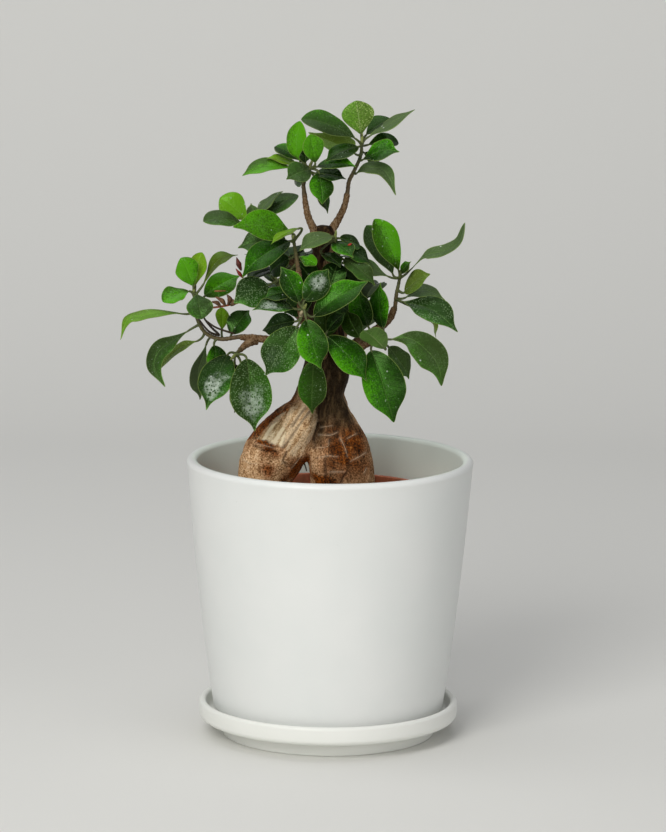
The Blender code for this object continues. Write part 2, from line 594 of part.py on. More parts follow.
def front_candidates(stem, row, blunt):
    # the listed place first, then the same view of the leaf at other depths and turns
    turns = (0, 14, -14, 28, -28)
    bases = (0, -3, 3, -6, 6)
    tips = (0, -4, 4, -8, 8, -12, 12, -16, 16)
    for turn in turns:
        for base_shift in bases:
            for tip_shift in tips:
                yield sighted_leaf(stem, row, blunt, base_shift, tip_shift, turn)


def back_candidates(stem, index, count, length, azimuth):
    for rise in (0, 20, -20, 40, -40):
        for swing in (0, 15, -15, 30, -30, 45, -45, 60, -60):
            for share in (1.0, 0.85, 0.7):
                leaf = spiral_leaf(stem, index, count, length * share, azimuth + swing, rise)
                if behind_crown(leaf):
                    yield leaf


def front_stem(name):
    return [sighted(*point) for point in SHOOTS[name][1]]


def back_stem(name):
    branch, reach, _, _ = BACK_SHOOTS[name]
    end = BRANCHES[branch][0][-1]
    start = sighted(*end)
    far = sighted(end[0] + reach[0], end[1] + reach[1], end[2] + reach[2])
    return [start + (far - start) / np.linalg.norm(far - start) * GAP, (start + far) / 2, far]


def leaf_choices(name, stem):
    # for each leaf of a shoot, the places it may take, best first
    if name in SHOOTS:
        blunt = BLUNT.get(name, ())
        return [front_candidates(stem, row, k in blunt) for k, row in enumerate(SHOOTS[name][2])]
    _, _, count, seed = BACK_SHOOTS[name]
    draw = np.random.default_rng(seed)
    first = draw.uniform(0, 360)
    lengths = draw.uniform(*BACK_LENGTH, count)
    return [back_candidates(stem, index, count, lengths[index], first + SPIRAL * index)
            for index in range(count)]


def grow_shoots(wood):
    # settles every leaf, shoot by shoot; returns each shoot's stem path and leaves
    stems = {name: front_stem(name) for name in SHOOTS}
    stems.update({name: back_stem(name) for name in BACK_SHOOTS})
    blocked = {name: tree_of(shoot_shapes(stem, [])) for name, stem in stems.items()}
    shoots = {}
    for name, stem in stems.items():
        others = [wood] + [tree for other, tree in blocked.items() if other != name]
        found = []
        for choices in leaf_choices(name, stem):
            own = [tree_of([leaf_shape(leaf)]) for leaf in found]
            leaf = settle(choices, others, own)
            if leaf:
                found.append(leaf)
        shoots[name] = (stem, found)
        blocked[name] = tree_of(shoot_shapes(stem, found))
    return shoots


def shoot_shapes(stem, leaves):
    path = smooth_path(stem, len(stem) + 1)
    radii = np.linspace(*STEM_RADII, len(path))
    return [tube(path, radii, TWIG_SIDES)] + [leaf_shape(leaf) for leaf in leaves]


def keep_largest_island(mesh):
    # fills a hollow that the union sealed, and drops a loose scrap, by deleting every
    # surface but the largest
    bm = bmesh.new()
    bm.from_mesh(mesh)
    left = set(bm.verts)
    islands = []
    while left:
        island = set()
        edge_of_search = {left.pop()}
        while edge_of_search:
            vert = edge_of_search.pop()
            island.add(vert)
            edge_of_search |= {edge.other_vert(vert) for edge in vert.link_edges} - island
        left -= island
        islands.append(island)
    islands.sort(key=len)
    for island in islands[:-1]:
        bmesh.ops.delete(bm, geom=list(island), context="VERTS")
    bm.to_mesh(mesh)
    bm.free()


def joined(name, shapes, finish, solver):
    # one solid: the first shape with all the others added by one Boolean union
    body = add_shape(name, shapes[0], finish)
    group = bpy.data.collections.new(name + "_parts")
    for k, shape in enumerate(shapes[1:]):
        part = add_shape(f"{name}_part_{k}", shape, finish)
        bpy.context.scene.collection.objects.unlink(part)
        group.objects.link(part)
    union = body.modifiers.new("join", "BOOLEAN")
    union.operation = "UNION"
    union.operand_type = "COLLECTION"
    union.collection = group
    union.solver = solver
    bpy.context.view_layer.update()
    evaluated = body.evaluated_get(bpy.context.evaluated_depsgraph_get())
    mesh = bpy.data.meshes.new_from_object(evaluated)
    keep_largest_island(mesh)
    body.modifiers.remove(union)
    body.data = mesh
    for part in list(group.objects):
        bpy.data.objects.remove(part)
    bpy.data.collections.remove(group)
    return body


def woody_shapes():
    shapes = [root_limb(rows) for rows in LIMBS.values()]
    for points, thick, thin in BRANCHES.values():
        path = smooth_path([sighted(*point) for point in points], len(points) + 2)
        shapes.append(tube(path, np.linspace(thick, thin, len(path)), TWIG_SIDES))
    return shapes


def make_soil(finish):
    floor = NURSERY_BOTTOM + NURSERY_WALL + GAP
    inset = NURSERY_WALL + GAP
    profile = [(0, floor), (nursery_radius(floor) - inset, floor),
               (nursery_radius(SOIL_TOP) - inset, SOIL_TOP), (30, SOIL_TOP + SOIL_CROWN * 0.7),
               (0, SOIL_TOP + SOIL_CROWN)]
    soil = turned("soil", profile, 32, finish)
    for name, rows in LIMBS.items():
        if name != "trunk":
            hole = add_shape(name + "_hole", root_limb(rows, ROOT_HOLE_GAP))
            cut_with(soil, hole)


def main():
    for old in list(bpy.data.objects):
        bpy.data.objects.remove(old)
    glaze = material("white_glaze", (0.76, 0.79, 0.76), 0.35)
    plastic = material("terracotta_plastic", (0.38, 0.09, 0.045), 0.5)
    earth = material("potting_soil", (0.045, 0.028, 0.018), 0.95)
    bark = material("fig_bark", (0.26, 0.15, 0.08), 0.8)
    green = material("fig_leaf", (0.045, 0.16, 0.02), 0.35)
    make_saucer(glaze)
    make_pot(glaze)
    make_nursery_pot(plastic)
    make_soil(earth)
    wood = woody_shapes()
    joined("trunk", wood, bark, "EXACT")
    for name, (stem, leaves) in grow_shoots(tree_of(wood)).items():
        joined(name, shoot_shapes(stem, leaves), green, "MANIFOLD")


main()
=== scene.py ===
# Ginseng fig bonsai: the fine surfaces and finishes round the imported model.
# Lengths are millimetres until a mesh is made, +Z is up and the viewer is at -Y.
from itertools import product
from math import radians, sin, cos, pi

import bpy
import numpy as np
from mathutils import Matrix, Vector
from mathutils.bvhtree import BVHTree


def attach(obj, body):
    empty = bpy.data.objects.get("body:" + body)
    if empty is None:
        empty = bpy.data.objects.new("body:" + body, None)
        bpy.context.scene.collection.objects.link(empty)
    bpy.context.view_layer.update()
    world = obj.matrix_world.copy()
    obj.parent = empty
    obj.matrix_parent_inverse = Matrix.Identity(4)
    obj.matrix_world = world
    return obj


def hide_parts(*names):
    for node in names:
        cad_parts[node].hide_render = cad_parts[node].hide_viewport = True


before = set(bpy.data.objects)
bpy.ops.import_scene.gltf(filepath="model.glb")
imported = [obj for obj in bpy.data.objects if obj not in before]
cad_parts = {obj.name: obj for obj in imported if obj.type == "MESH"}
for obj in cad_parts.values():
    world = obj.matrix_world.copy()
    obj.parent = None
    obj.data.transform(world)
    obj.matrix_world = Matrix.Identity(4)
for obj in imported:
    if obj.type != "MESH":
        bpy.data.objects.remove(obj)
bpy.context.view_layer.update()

mm = 0.001
print("frame loaded:", len(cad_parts), "nodes")

# camera
view = {
    "eye": (1.3, -2553.5, 636.8),
    "pitch": 10.38,     # degrees below level
    "roll": 0.5,
    "lens": 214.8,
    "sensor": 36.0,
    "reach": 30.0,      # metres
}
eye = np.array(view["eye"])


def placed(name, data):
    # a new object in the scene, at the origin
    thing = bpy.data.objects.new(name, data)
    bpy.context.scene.collection.objects.link(thing)
    return thing


def makeCamera():
    # right and up vectors of a level view, tipped down by the pitch and turned by the roll
    pitch, roll = radians(view["pitch"]), radians(view["roll"])
    ahead = Vector((0, cos(pitch), -sin(pitch)))
    level, upright = Vector((1, 0, 0)), Vector((0, sin(pitch), cos(pitch)))
    right = cos(roll) * level + sin(roll) * upright
    up = -sin(roll) * level + cos(roll) * upright
    camera = placed("camera", bpy.data.cameras.new("camera"))
    camera.data.lens, camera.data.sensor_width = view["lens"], view["sensor"]
    camera.data.clip_end = view["reach"]
    turn = Matrix((right, up, -ahead)).transposed().to_4x4()
    camera.matrix_world = Matrix.Translation(Vector(view["eye"]) * mm) @ turn
    bpy.context.scene.camera = camera


makeCamera()
bpy.context.scene.view_settings.view_transform = "Standard"


# numbers and noise
def ease(low, high, x):
    # smooth step from 0 at low to 1 at high
    t = np.clip((x - low) / (high - low), 0, 1)
    return t * t * (3 - 2 * t)


def latticeValue(cell, seed):
    # whole-number lattice cells hashed to values between -1 and 1
    x, y, z = (cell[..., k].astype(np.int64) for k in range(3))
    h = (x * 374761393 + y * 668265263 + z * 1442695041 + seed * 1274126177) & 0xffffffff
    h = ((h ^ (h >> 13)) * 1274126177) & 0xffffffff
    h = h ^ (h >> 16)
    return (h & 0xffff) / 32767.5 - 1


def grain(points, size, seed):
    # value noise: random values on a lattice of the given cell size, blended by smooth steps
    cell = points / size
    base = np.floor(cell)
    t = cell - base
    t = t * t * (3 - 2 * t)
    total = 0
    for corner in np.ndindex(2, 2, 2):
        share = np.where(corner, t, 1 - t).prod(axis=-1)
        total = total + share * latticeValue(base + corner, seed)
    return total


def roughGrain(points, size, seed, octaves=3):
    # value noise summed over octaves, each at half the size and half the strength
    return sum(grain(points, size / 2 ** k, seed + k) / 2 ** k for k in range(octaves))


def unit(vectors):
    # vectors over their own lengths
    return vectors / np.linalg.norm(vectors, axis=-1, keepdims=True)


def runOf(points):
    # distance along a line of points, from 0 at the first
    return np.concatenate([[0], np.cumsum(np.linalg.norm(np.diff(points, axis=0), axis=1))])


def readAt(at, places, rows):
    # rows known at some places, read at others by straight lines between them
    return np.stack([np.interp(at, places, column) for column in rows.T], axis=1)


def pill(x, z, centre, size, power):
    # 1 at the centre, falling off on both axes; the higher the power, the flatter its top
    return np.exp(-((x - centre[0]) / size[0]) ** power - ((z - centre[1]) / size[1]) ** power)


# surfaces
def gridFaces(rows, columns, closedRows=False):
    # quads between neighbouring rings of points; each ring closes on itself
    row = np.arange(rows if closedRows else rows - 1)[:, None]
    column = np.arange(columns)[None, :]
    after = (row + 1) % rows
    nextColumn = (column + 1) % columns
    quads = [row * columns + column, row * columns + nextColumn,
             after * columns + nextColumn, after * columns + column]
    return np.stack(np.broadcast_arrays(*quads), axis=-1).reshape(-1, 4)


def cappedRings(rings):
    # closed surface through rings, with a fan of triangles round a middle point at each end
    rows, columns = rings.shape[:2]
    points = np.vstack([rings.reshape(-1, 3), rings[0].mean(axis=0), rings[-1].mean(axis=0)])
    first, last = rows * columns, rows * columns + 1
    c = np.arange(columns)
    after = (c + 1) % columns
    top = (rows - 1) * columns
    fans = [np.stack([np.full(columns, first), after, c], axis=1),
            np.stack([np.full(columns, last), top + c, top + after], axis=1)]
    return points, gridFaces(rows, columns), np.vstack(fans)


def arcOf(centreR, centreZ, radius, start, end, steps):
    # points (r, z) on an arc, angles in degrees from +r towards +z
    a = np.radians(np.linspace(start, end, steps + 1))
    return np.stack([centreR + radius * np.cos(a), centreZ + radius * np.sin(a)], axis=1)


def turnedRings(profile, segments):
    # a profile of (r, z) points swept round the Z axis
    turn = np.arange(segments) * 2 * pi / segments
    r, z = profile[:, :1], profile[:, 1:]
    return np.stack([r * np.cos(turn), r * np.sin(turn), z + 0 * turn], axis=-1)


def evenly(profile, step):
    # extra points along a profile's long runs, so that no run is longer than the step
    runs = np.linalg.norm(np.diff(profile, axis=0), axis=1)
    at = [np.linspace(k, k + 1, max(int(np.ceil(run / step)), 1), endpoint=False)
          for k, run in enumerate(runs)]
    at = np.append(np.concatenate(at), len(runs))
    return readAt(at, np.arange(len(profile)), profile)


def smoothPath(points, count):
    # Catmull-Rom curve through the points, read at even steps of its parameter
    points = np.asarray(points, float)
    if len(points) == 2:
        return points[0] + np.linspace(0, 1, count)[:, None] * (points[1] - points[0])
    padded = np.vstack([2 * points[0] - points[1], points, 2 * points[-1] - points[-2]])
    at = np.linspace(0, len(points) - 1, count)
    k = np.minimum(at.astype(int), len(points) - 2)
    t = (at - k)[:, None]
    a, b, c, d = padded[k], padded[k + 1], padded[k + 2], padded[k + 3]
    return 0.5 * (2 * b + (c - a) * t + (2 * a - 5 * b + 4 * c - d) * t ** 2
                  + (3 * b - a - 3 * c + d) * t ** 3)


def tubeRings(path, radii, sides):
    # round sections along a path, carried along it without twisting
    path = np.asarray(path, float)
    tangents = unit(np.gradient(path, axis=0))
    side = np.cross(tangents[0], (0.31, 0.87, 0.39))
    angles = np.arange(sides) * 2 * pi / sides
    rings = []
    for point, tangent, radius in zip(path, tangents, radii):
        side = unit(side - tangent * (side @ tangent))
        ring = np.outer(np.cos(angles), side) + np.outer(np.sin(angles), np.cross(tangent, side))
        rings.append(point + ring * radius)
    return np.stack(rings)


def tube(path, radii, sides):
    # round sections along a path, closed at both ends
    return cappedRings(tubeRings(path, radii, sides))


class Bundle:
    # gathers closed surfaces, with their attributes, into one mesh
    def __init__(self):
        self.surfaces, self.count = [], 0

    def add(self, surface, finish=0, **facts):
        points, quads, tris = surface
        self.surfaces.append((points, quads + self.count, tris + self.count, finish, facts))
        self.count += len(points)

    def mesh(self, name):
        points, quads, tris, finishes, facts = zip(*self.surfaces)
        made = meshOf(name, np.vstack(points), np.vstack(quads), np.vstack(tris))
        indices = [np.full(len(faces), finish) for kind in (quads, tris)
                   for faces, finish in zip(kind, finishes)]
        made.polygons.foreach_set("material_index", np.concatenate(indices).astype(np.int32))
        for fact in sorted({key for each in facts for key in each}):
            rows = [np.broadcast_to(each.get(fact, (0, 0, 0)), (len(some), 3))
                    for each, some in zip(facts, points)]
            setAttribute(made, fact, np.vstack(rows))
        return made


def meshOf(name, points, quads, tris):
    # a mesh in metres, its quads before its triangles
    mesh = bpy.data.meshes.new(name)
    mesh.vertices.add(len(points))
    mesh.vertices.foreach_set("co", (points * mm).astype(np.float32).ravel())
    corners = np.concatenate([quads.ravel(), tris.ravel()]).astype(np.int32)
    mesh.loops.add(len(corners))
    mesh.loops.foreach_set("vertex_index", corners)
    starts = np.concatenate([np.arange(len(quads)) * 4,
                             len(quads) * 4 + np.arange(len(tris)) * 3]).astype(np.int32)
    mesh.polygons.add(len(starts))
    mesh.polygons.foreach_set("loop_start", starts)
    mesh.update(calc_edges=True)
    return mesh


def setAttribute(mesh, name, rows):
    made = mesh.attributes.new(name, "FLOAT_VECTOR", "POINT")
    made.data.foreach_set("vector", np.ascontiguousarray(rows, np.float32).ravel())


def readMesh(items, key, width, kind=np.float32):
    # rows of one value of all a mesh's vertices, edges or corners
    values = np.empty(len(items) * width, kind)
    items.foreach_get(key, values)
    return values.reshape(-1, width)


def pointsOf(mesh):
    return readMesh(mesh.vertices, "co", 3).astype(float) / mm


def addPiece(name, mesh, finishes, slot, *nodes, sharp=40):
    # a finished piece: smooth shaded, with its materials, on the frame's one body
    piece = placed(name, mesh)
    for finish in finishes:
        mesh.materials.append(finish.material)
    mesh.shade_smooth()
    mesh.set_sharp_from_angle(angle=radians(sharp))
    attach(piece, "root")
    if nodes:
        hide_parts(*nodes)


def applied(mesh, kind, **settings):
    # the mesh with one modifier applied
    holder = placed("holder", mesh)
    modifier = holder.modifiers.new("work", kind)
    for key, value in settings.items():
        setattr(modifier, key, value)
    bpy.context.view_layer.update()
    ready = holder.evaluated_get(bpy.context.evaluated_depsgraph_get())
    made = bpy.data.meshes.new_from_object(ready)
    bpy.data.objects.remove(holder)
    return made


def spread(mesh, values, rounds):
    # averages values, one row for each vertex, with those of the vertices next to it
    a, b = readMesh(mesh.edges, "vertices", 2, np.int32).T
    count = len(mesh.vertices)
    degree = np.bincount(a, minlength=count) + np.bincount(b, minlength=count)
    for _ in range(rounds):
        columns = [np.bincount(a, values[:, k][b], count) + np.bincount(b, values[:, k][a], count)
                   for k in range(values.shape[1])]
        values = 0.5 * values + 0.5 * np.stack(columns, axis=1) / degree[:, None]
    return values


# shader maths
class Signal:
    # a node's output, so that shader maths reads as a plain expression
    def __init__(self, finish, socket):
        self.finish, self.socket = finish, socket

    def maths(self, operation, *values, clamp=False):
        settings = {"operation": operation, "use_clamp": clamp}
        return self.finish.add("ShaderNodeMath", settings, dict(enumerate(values)))

    def __add__(self, other):
        return self.maths("ADD", self, other)

    def __radd__(self, other):
        return self.maths("ADD", other, self)

    def __sub__(self, other):
        return self.maths("SUBTRACT", self, other)

    def __rsub__(self, other):
        return self.maths("SUBTRACT", other, self)

    def __mul__(self, other):
        return self.maths("MULTIPLY", self, other)

    def __rmul__(self, other):
        return self.maths("MULTIPLY", other, self)

    def __truediv__(self, other):
        return self.maths("DIVIDE", self, other)

    def __abs__(self):
        return self.maths("ABSOLUTE", self)

    def fraction(self):
        return self.maths("FRACT", self)

    def capped(self):
        return self.maths("ADD", self, 0.0, clamp=True)

    def ease(self, low, high):
        # smooth step from 0 at low to 1 at high, also where low is the larger
        sockets = {"Value": self, "From Min": low, "From Max": high}
        return self.finish.add("ShaderNodeMapRange", {"interpolation_type": "SMOOTHSTEP"}, sockets)


class Finish:
    # one material's nodes round its Principled shader
    def __init__(self, name, **fixed):
        self.material = bpy.data.materials.new(name)
        self.material.use_nodes = True
        self.tree = self.material.node_tree
        self.shader = self.tree.nodes["Principled BSDF"]
        self.paint(**fixed)

    def feed(self, socket, value):
        if isinstance(value, Signal):
            self.tree.links.new(value.socket, socket)
        elif isinstance(value, tuple) and len(value) == 3 and socket.type == "RGBA":
            socket.default_value = (*value, 1.0)
        else:
            socket.default_value = value

    def add(self, kind, settings=None, sockets=None, output=0):
        node = self.tree.nodes.new(kind)
        for key, value in (settings or {}).items():
            if key == "stops":
                self.setStops(node.color_ramp, value)
            else:
                setattr(node, key, value)
        for key, value in (sockets or {}).items():
            self.feed(node.inputs[key], value)
        return Signal(self, node.outputs[output])

    def setStops(self, ramp, stops):
        while len(ramp.elements) < len(stops):
            ramp.elements.new(0.5)
        for element, (place, colour) in zip(ramp.elements, stops):
            element.position = place
            element.color = (*colour, 1.0)

    def paint(self, **sockets):
        for key, value in sockets.items():
            self.feed(self.shader.inputs[key.replace("_", " ")], value)

    def place(self, stretch=(1.0, 1.0, 1.0), turn=(0.0, 0.0, 0.0)):
        # the object's own coordinates, in metres
        own = self.add("ShaderNodeTexCoord", output=3)
        return self.add("ShaderNodeMapping", None,
                        {"Vector": own, "Scale": stretch, "Rotation": turn})

    def noise(self, at, scale, detail=3.0, roughness=0.55, distortion=0.0):
        return self.add("ShaderNodeTexNoise", None,
                        {"Vector": at, "Scale": scale, "Detail": detail,
                         "Roughness": roughness, "Distortion": distortion})

    def cells(self, at, scale):
        return self.add("ShaderNodeTexVoronoi", None, {"Vector": at, "Scale": scale})

    def mix(self, share, first, second, blend="MIX"):
        return self.add("ShaderNodeMix", {"data_type": "RGBA", "blend_type": blend},
                        {0: share, 6: first, 7: second}, output=2)

    def layers(self, colour, *coats):
        # each coat is a share and the colour that it lays over what is there
        for share, coat in coats:
            colour = self.mix(share, colour, coat)
        return colour

    def ramp(self, share, stops):
        return self.add("ShaderNodeValToRGB", {"stops": stops}, {0: share})

    def attribute(self, name):
        # the three numbers of one of the piece's own attributes
        vector = self.add("ShaderNodeAttribute", {"attribute_name": name}, output=1)
        return [self.add("ShaderNodeSeparateXYZ", None, {0: vector}, output=k) for k in range(3)]

    def tint(self):
        return self.add("ShaderNodeAttribute", {"attribute_name": "tint"}, output=1)

    def bump(self, height, depth):
        # depth is the height in metres of a step from 0 to 1
        self.paint(Normal=self.add("ShaderNodeBump", None,
                                   {"Strength": 1.0, "Distance": depth, "Height": height}))


# stage and light
studio = {
    "sweepFront": -6000.0,
    "sweepBack": 800.0,
    "sweepRadius": 700.0,
    "sweepTurn": 53.0,      # degrees; low enough to look over it from behind
    "sweepHalf": 6000.0,
    "sweepColour": (0.76, 0.757, 0.725),
    "worldColour": (0.96, 0.97, 1.0),
    "worldStrength": 0.235,
}
# each soft box: place and aim in millimetres, width and height in metres, watts and colour
softBoxes = {
    "key": ((-785, -1683, 1500), (0, 0, 150), 1.0, 1.0, 25.0, (1.0, 0.99, 0.965)),
    "front": ((-450, -2400, 820), (0, 0, 60), 1.5, 0.7, 9.5, (1.0, 0.985, 0.96)),
    "fill": ((1700, -1700, 800), (0, 0, 150), 1.4, 1.4, 5.0, (0.98, 0.99, 1.0)),
    "top": ((-200, 200, 2000), (0, 0, 150), 2.0, 2.0, 9.0, (1.0, 1.0, 1.0)),
    "wall": ((-300, 200, 1900), (0, 1300, 200), 2.0, 0.8, 4.5, (1.0, 1.0, 1.0)),
}


def makeStage():
    # floor that curves up into a low backdrop through part of a circle
    radius = studio["sweepRadius"]
    bend = arcOf(studio["sweepBack"], radius, radius, -90, studio["sweepTurn"] - 90, 24)
    line = np.vstack([(studio["sweepFront"], 0), bend])
    x = np.array([-studio["sweepHalf"], studio["sweepHalf"]])
    points = np.stack(np.broadcast_arrays(x[None, :], line[:, :1], line[:, 1:]), axis=-1)
    low = np.arange(len(line) - 1) * 2
    quads = np.stack([low, low + 1, low + 3, low + 2], axis=1)
    mesh = meshOf("sweep", points.reshape(-1, 3), quads, np.empty((0, 3), int))
    sweep = placed("sweep", mesh)
    paper = Finish("paper", Base_Color=studio["sweepColour"], Roughness=0.9)
    paper.bump(paper.noise(paper.place(), 900.0), 0.00003)
    mesh.materials.append(paper.material)
    mesh.shade_smooth()


def makeLights():
    # area lights turned to face their aims, under an even sky
    for name, (spot, aim, width, height, watts, colour) in softBoxes.items():
        box = placed(name, bpy.data.lights.new(name, "AREA"))
        box.data.shape = "RECTANGLE"
        box.data.size, box.data.size_y = width, height
        box.data.energy, box.data.color = watts, colour
        box.location = Vector(spot) * mm
        box.rotation_euler = (Vector(aim) - Vector(spot)).to_track_quat("-Z", "Y").to_euler()
    world = bpy.data.worlds.new("room")
    world.use_nodes = True
    sky = world.node_tree.nodes["Background"]
    sky.inputs["Color"].default_value = (*studio["worldColour"], 1.0)
    sky.inputs["Strength"].default_value = studio["worldStrength"]
    bpy.context.scene.world = world


makeStage()
makeLights()
print("studio ready")


# saucer, pot and nursery pot
turnedSegments = 192
gap = 0.3
saucer = {"radius": 68.0, "height": 18.0, "wall": 3.6, "footRadius": 56.0, "footHeight": 8.0,
          "floor": 10.6, "corner": 3.2, "footEdge": 0.8, "footHollow": 0.6, "insideCorner": 3.0}
pot = {"bottom": saucer["floor"] + gap, "top": 147.1, "radius": 75.0, "wall": 5.6,
       "footRadius": 60.0, "bow": 1.2, "corner": 6.0, "floor": 6.0, "drainRadius": 8.0,
       "insideCorner": 7.0, "holeEdge": 0.8}
nursery = {"bottom": pot["bottom"] + pot["floor"] + gap, "top": 127.5, "radius": 59.6,
           "footRadius": 43.0, "footCorner": 1.2, "wall": 1.1, "bead": 1.7, "beadHeight": 7.0,
           "beadCorner": 0.7, "innerCorner": 0.6, "drains": 6, "drainRadius": 4.0,
           "drainRing": 30.0, "ribs": 3, "ribDepth": 0.25, "ribsFrom": 88.0}
# the saucer's glaze is a lighter, warmer copy of the pot's; its extra lightness is painted light
glazes = {"saucer": ((0.84, 0.85, 0.80), (0.88, 0.885, 0.84)),
          "pot": ((0.78, 0.80, 0.78), (0.82, 0.83, 0.81)),
          # inside: a paler greenish colour for the pot's inner wall, painted light
          "inside": (0.90, 0.98, 0.90), "prick": (0.50, 0.50, 0.46)}
plastics = {"low": (0.48, 0.120, 0.052), "high": (0.64, 0.20, 0.095), "dust": (0.16, 0.09, 0.05)}


def glazeFinish(name, key):
    # satin white glaze: faint warm and cool clouds, pin pricks and a little orange peel, and on the
    # pot's inner wall a paler greenish colour that is painted light
    glaze = Finish(name, IOR=1.5)
    at = glaze.place()
    cloud = glaze.noise(at, 22.0, detail=2.0)
    peel = glaze.noise(at, 420.0, detail=2.0)
    prick = glaze.cells(at, 260.0).ease(0.10, 0.04)
    rare = glaze.noise(at, 130.0).ease(0.60, 0.70)
    low, high = glazes[key]
    # the inside share lays painted light over the pot's inner wall
    colour = glaze.layers(glaze.ramp(cloud, [(0.3, low), (0.7, high)]),
                          (glaze.attribute("inside")[0], glazes["inside"]),
                          (prick * rare * 0.35, glazes["prick"]))
    glaze.paint(Base_Color=colour, Roughness=0.36 + peel * 0.10)
    glaze.bump(peel - prick * rare, 0.00004)
    return glaze


def plasticFinish():
    # terracotta-coloured plastic, scuffed, with patches of earth dust
    plastic = Finish("terracotta_plastic_scuffed", IOR=1.46)
    at = plastic.place()
    scuff = plastic.noise(plastic.place((1.0, 1.0, 0.12)), 500.0, detail=4.0)
    dust = plastic.noise(at, 90.0, detail=5.0).ease(0.48, 0.68)
    colour = plastic.ramp(scuff, [(0.3, plastics["low"]), (0.7, plastics["high"])])
    colour = plastic.mix(dust * 0.5, colour, plastics["dust"])
    plastic.paint(Base_Color=colour, Roughness=0.42 + dust * 0.35)
    plastic.bump(scuff + dust, 0.00005)
    return plastic


def closedTurn(name, profile, step):
    # a profile swept round the Z axis into one closed skin
    return meshOf(name, *cappedRings(turnedRings(evenly(profile, step), turnedSegments)))


def makeSaucer(finish):
    # turned profile: foot, rounded corner, rounded lip and a floor with a soft inner corner
    lip = saucer["wall"] / 2
    foot, rise, corner = saucer["footRadius"], saucer["footHeight"], saucer["corner"]
    edge, hollow, inside = saucer["footEdge"], saucer["footHollow"], saucer["insideCorner"]
    inner, floor = saucer["radius"] - saucer["wall"], saucer["floor"]
    profile = np.vstack([
        (1.0, 0), arcOf(foot - edge, edge, edge, -90, 0, 6), (foot, rise - hollow),
        arcOf(foot + hollow, rise - hollow, hollow, 180, 90, 4),
        arcOf(saucer["radius"] - corner, rise + corner, corner, -90, 0, 10),
        arcOf(saucer["radius"] - lip, saucer["height"] - lip, lip, 0, 180, 16),
        arcOf(inner - inside, floor + inside, inside, 0, -90, 8), (1.0, floor)])
    mesh = closedTurn("saucer_glazed", profile, 8.0)
    addPiece("saucer_glazed", mesh, [finish], "glaze", "saucer")


def potRadius(z):
    # straight taper from foot to lip, swelling by the bow at mid height
    t = (z - pot["bottom"]) / (pot["top"] - pot["bottom"])
    widening = (pot["radius"] - pot["footRadius"]) * t
    return pot["footRadius"] + widening + pot["bow"] * 4 * t * (1 - t)


def makePot(finish):
    # one closed profile round the wall's section, so that the drain hole goes right through
    lip, corner = pot["wall"] / 2, pot["corner"]
    bottom, top = pot["bottom"], pot["top"]
    floor = bottom + pot["floor"]
    outside = np.linspace(bottom + corner + 2, top - lip - 1, 18)
    inside = np.linspace(top - lip - 1, floor + pot["insideCorner"], 16)
    hole, edge = pot["drainRadius"], pot["holeEdge"]
    insideR = potRadius(floor + pot["insideCorner"]) - pot["wall"] - pot["insideCorner"]
    profile = np.vstack([
        arcOf(hole + edge, bottom + edge, edge, 180, 270, 4),
        arcOf(potRadius(bottom + corner) - corner, bottom + corner, corner, -90, -4, 10),
        np.stack([potRadius(outside), outside], axis=1),
        arcOf(pot["radius"] - lip, top - lip, lip, 2, 178, 18),
        np.stack([potRadius(inside) - pot["wall"], inside], axis=1),
        arcOf(insideR, floor + pot["insideCorner"], pot["insideCorner"], -6, -90, 8),
        arcOf(hole + edge, floor - edge, edge, 90, 180, 4)])
    rings = turnedRings(profile, turnedSegments)
    quads = gridFaces(len(profile), turnedSegments, closedRows=True)
    mesh = meshOf("pot_glazed", rings.reshape(-1, 3), quads, np.empty((0, 3), int))
    r, z = profile[:, 0], profile[:, 1]
    # share of the painted light: 1 on the inner wall above the floor, 0 elsewhere
    insideLightShare = ease(potRadius(z) - 1.5, potRadius(z) - lip - 1.5, r) * (z > floor + 1)
    setAttribute(mesh, "inside", np.repeat(insideLightShare, turnedSegments * 3))
    addPiece("pot_glazed", mesh, [finish], "glaze", "pot")


def nurseryRadius(z):
    # straight taper from the foot to the back of the rim's bead
    t = (z - nursery["bottom"]) / (nursery["top"] - nursery["bottom"])
    return nursery["footRadius"] + (nursery["radius"] - nursery["bead"] - nursery["footRadius"]) * t


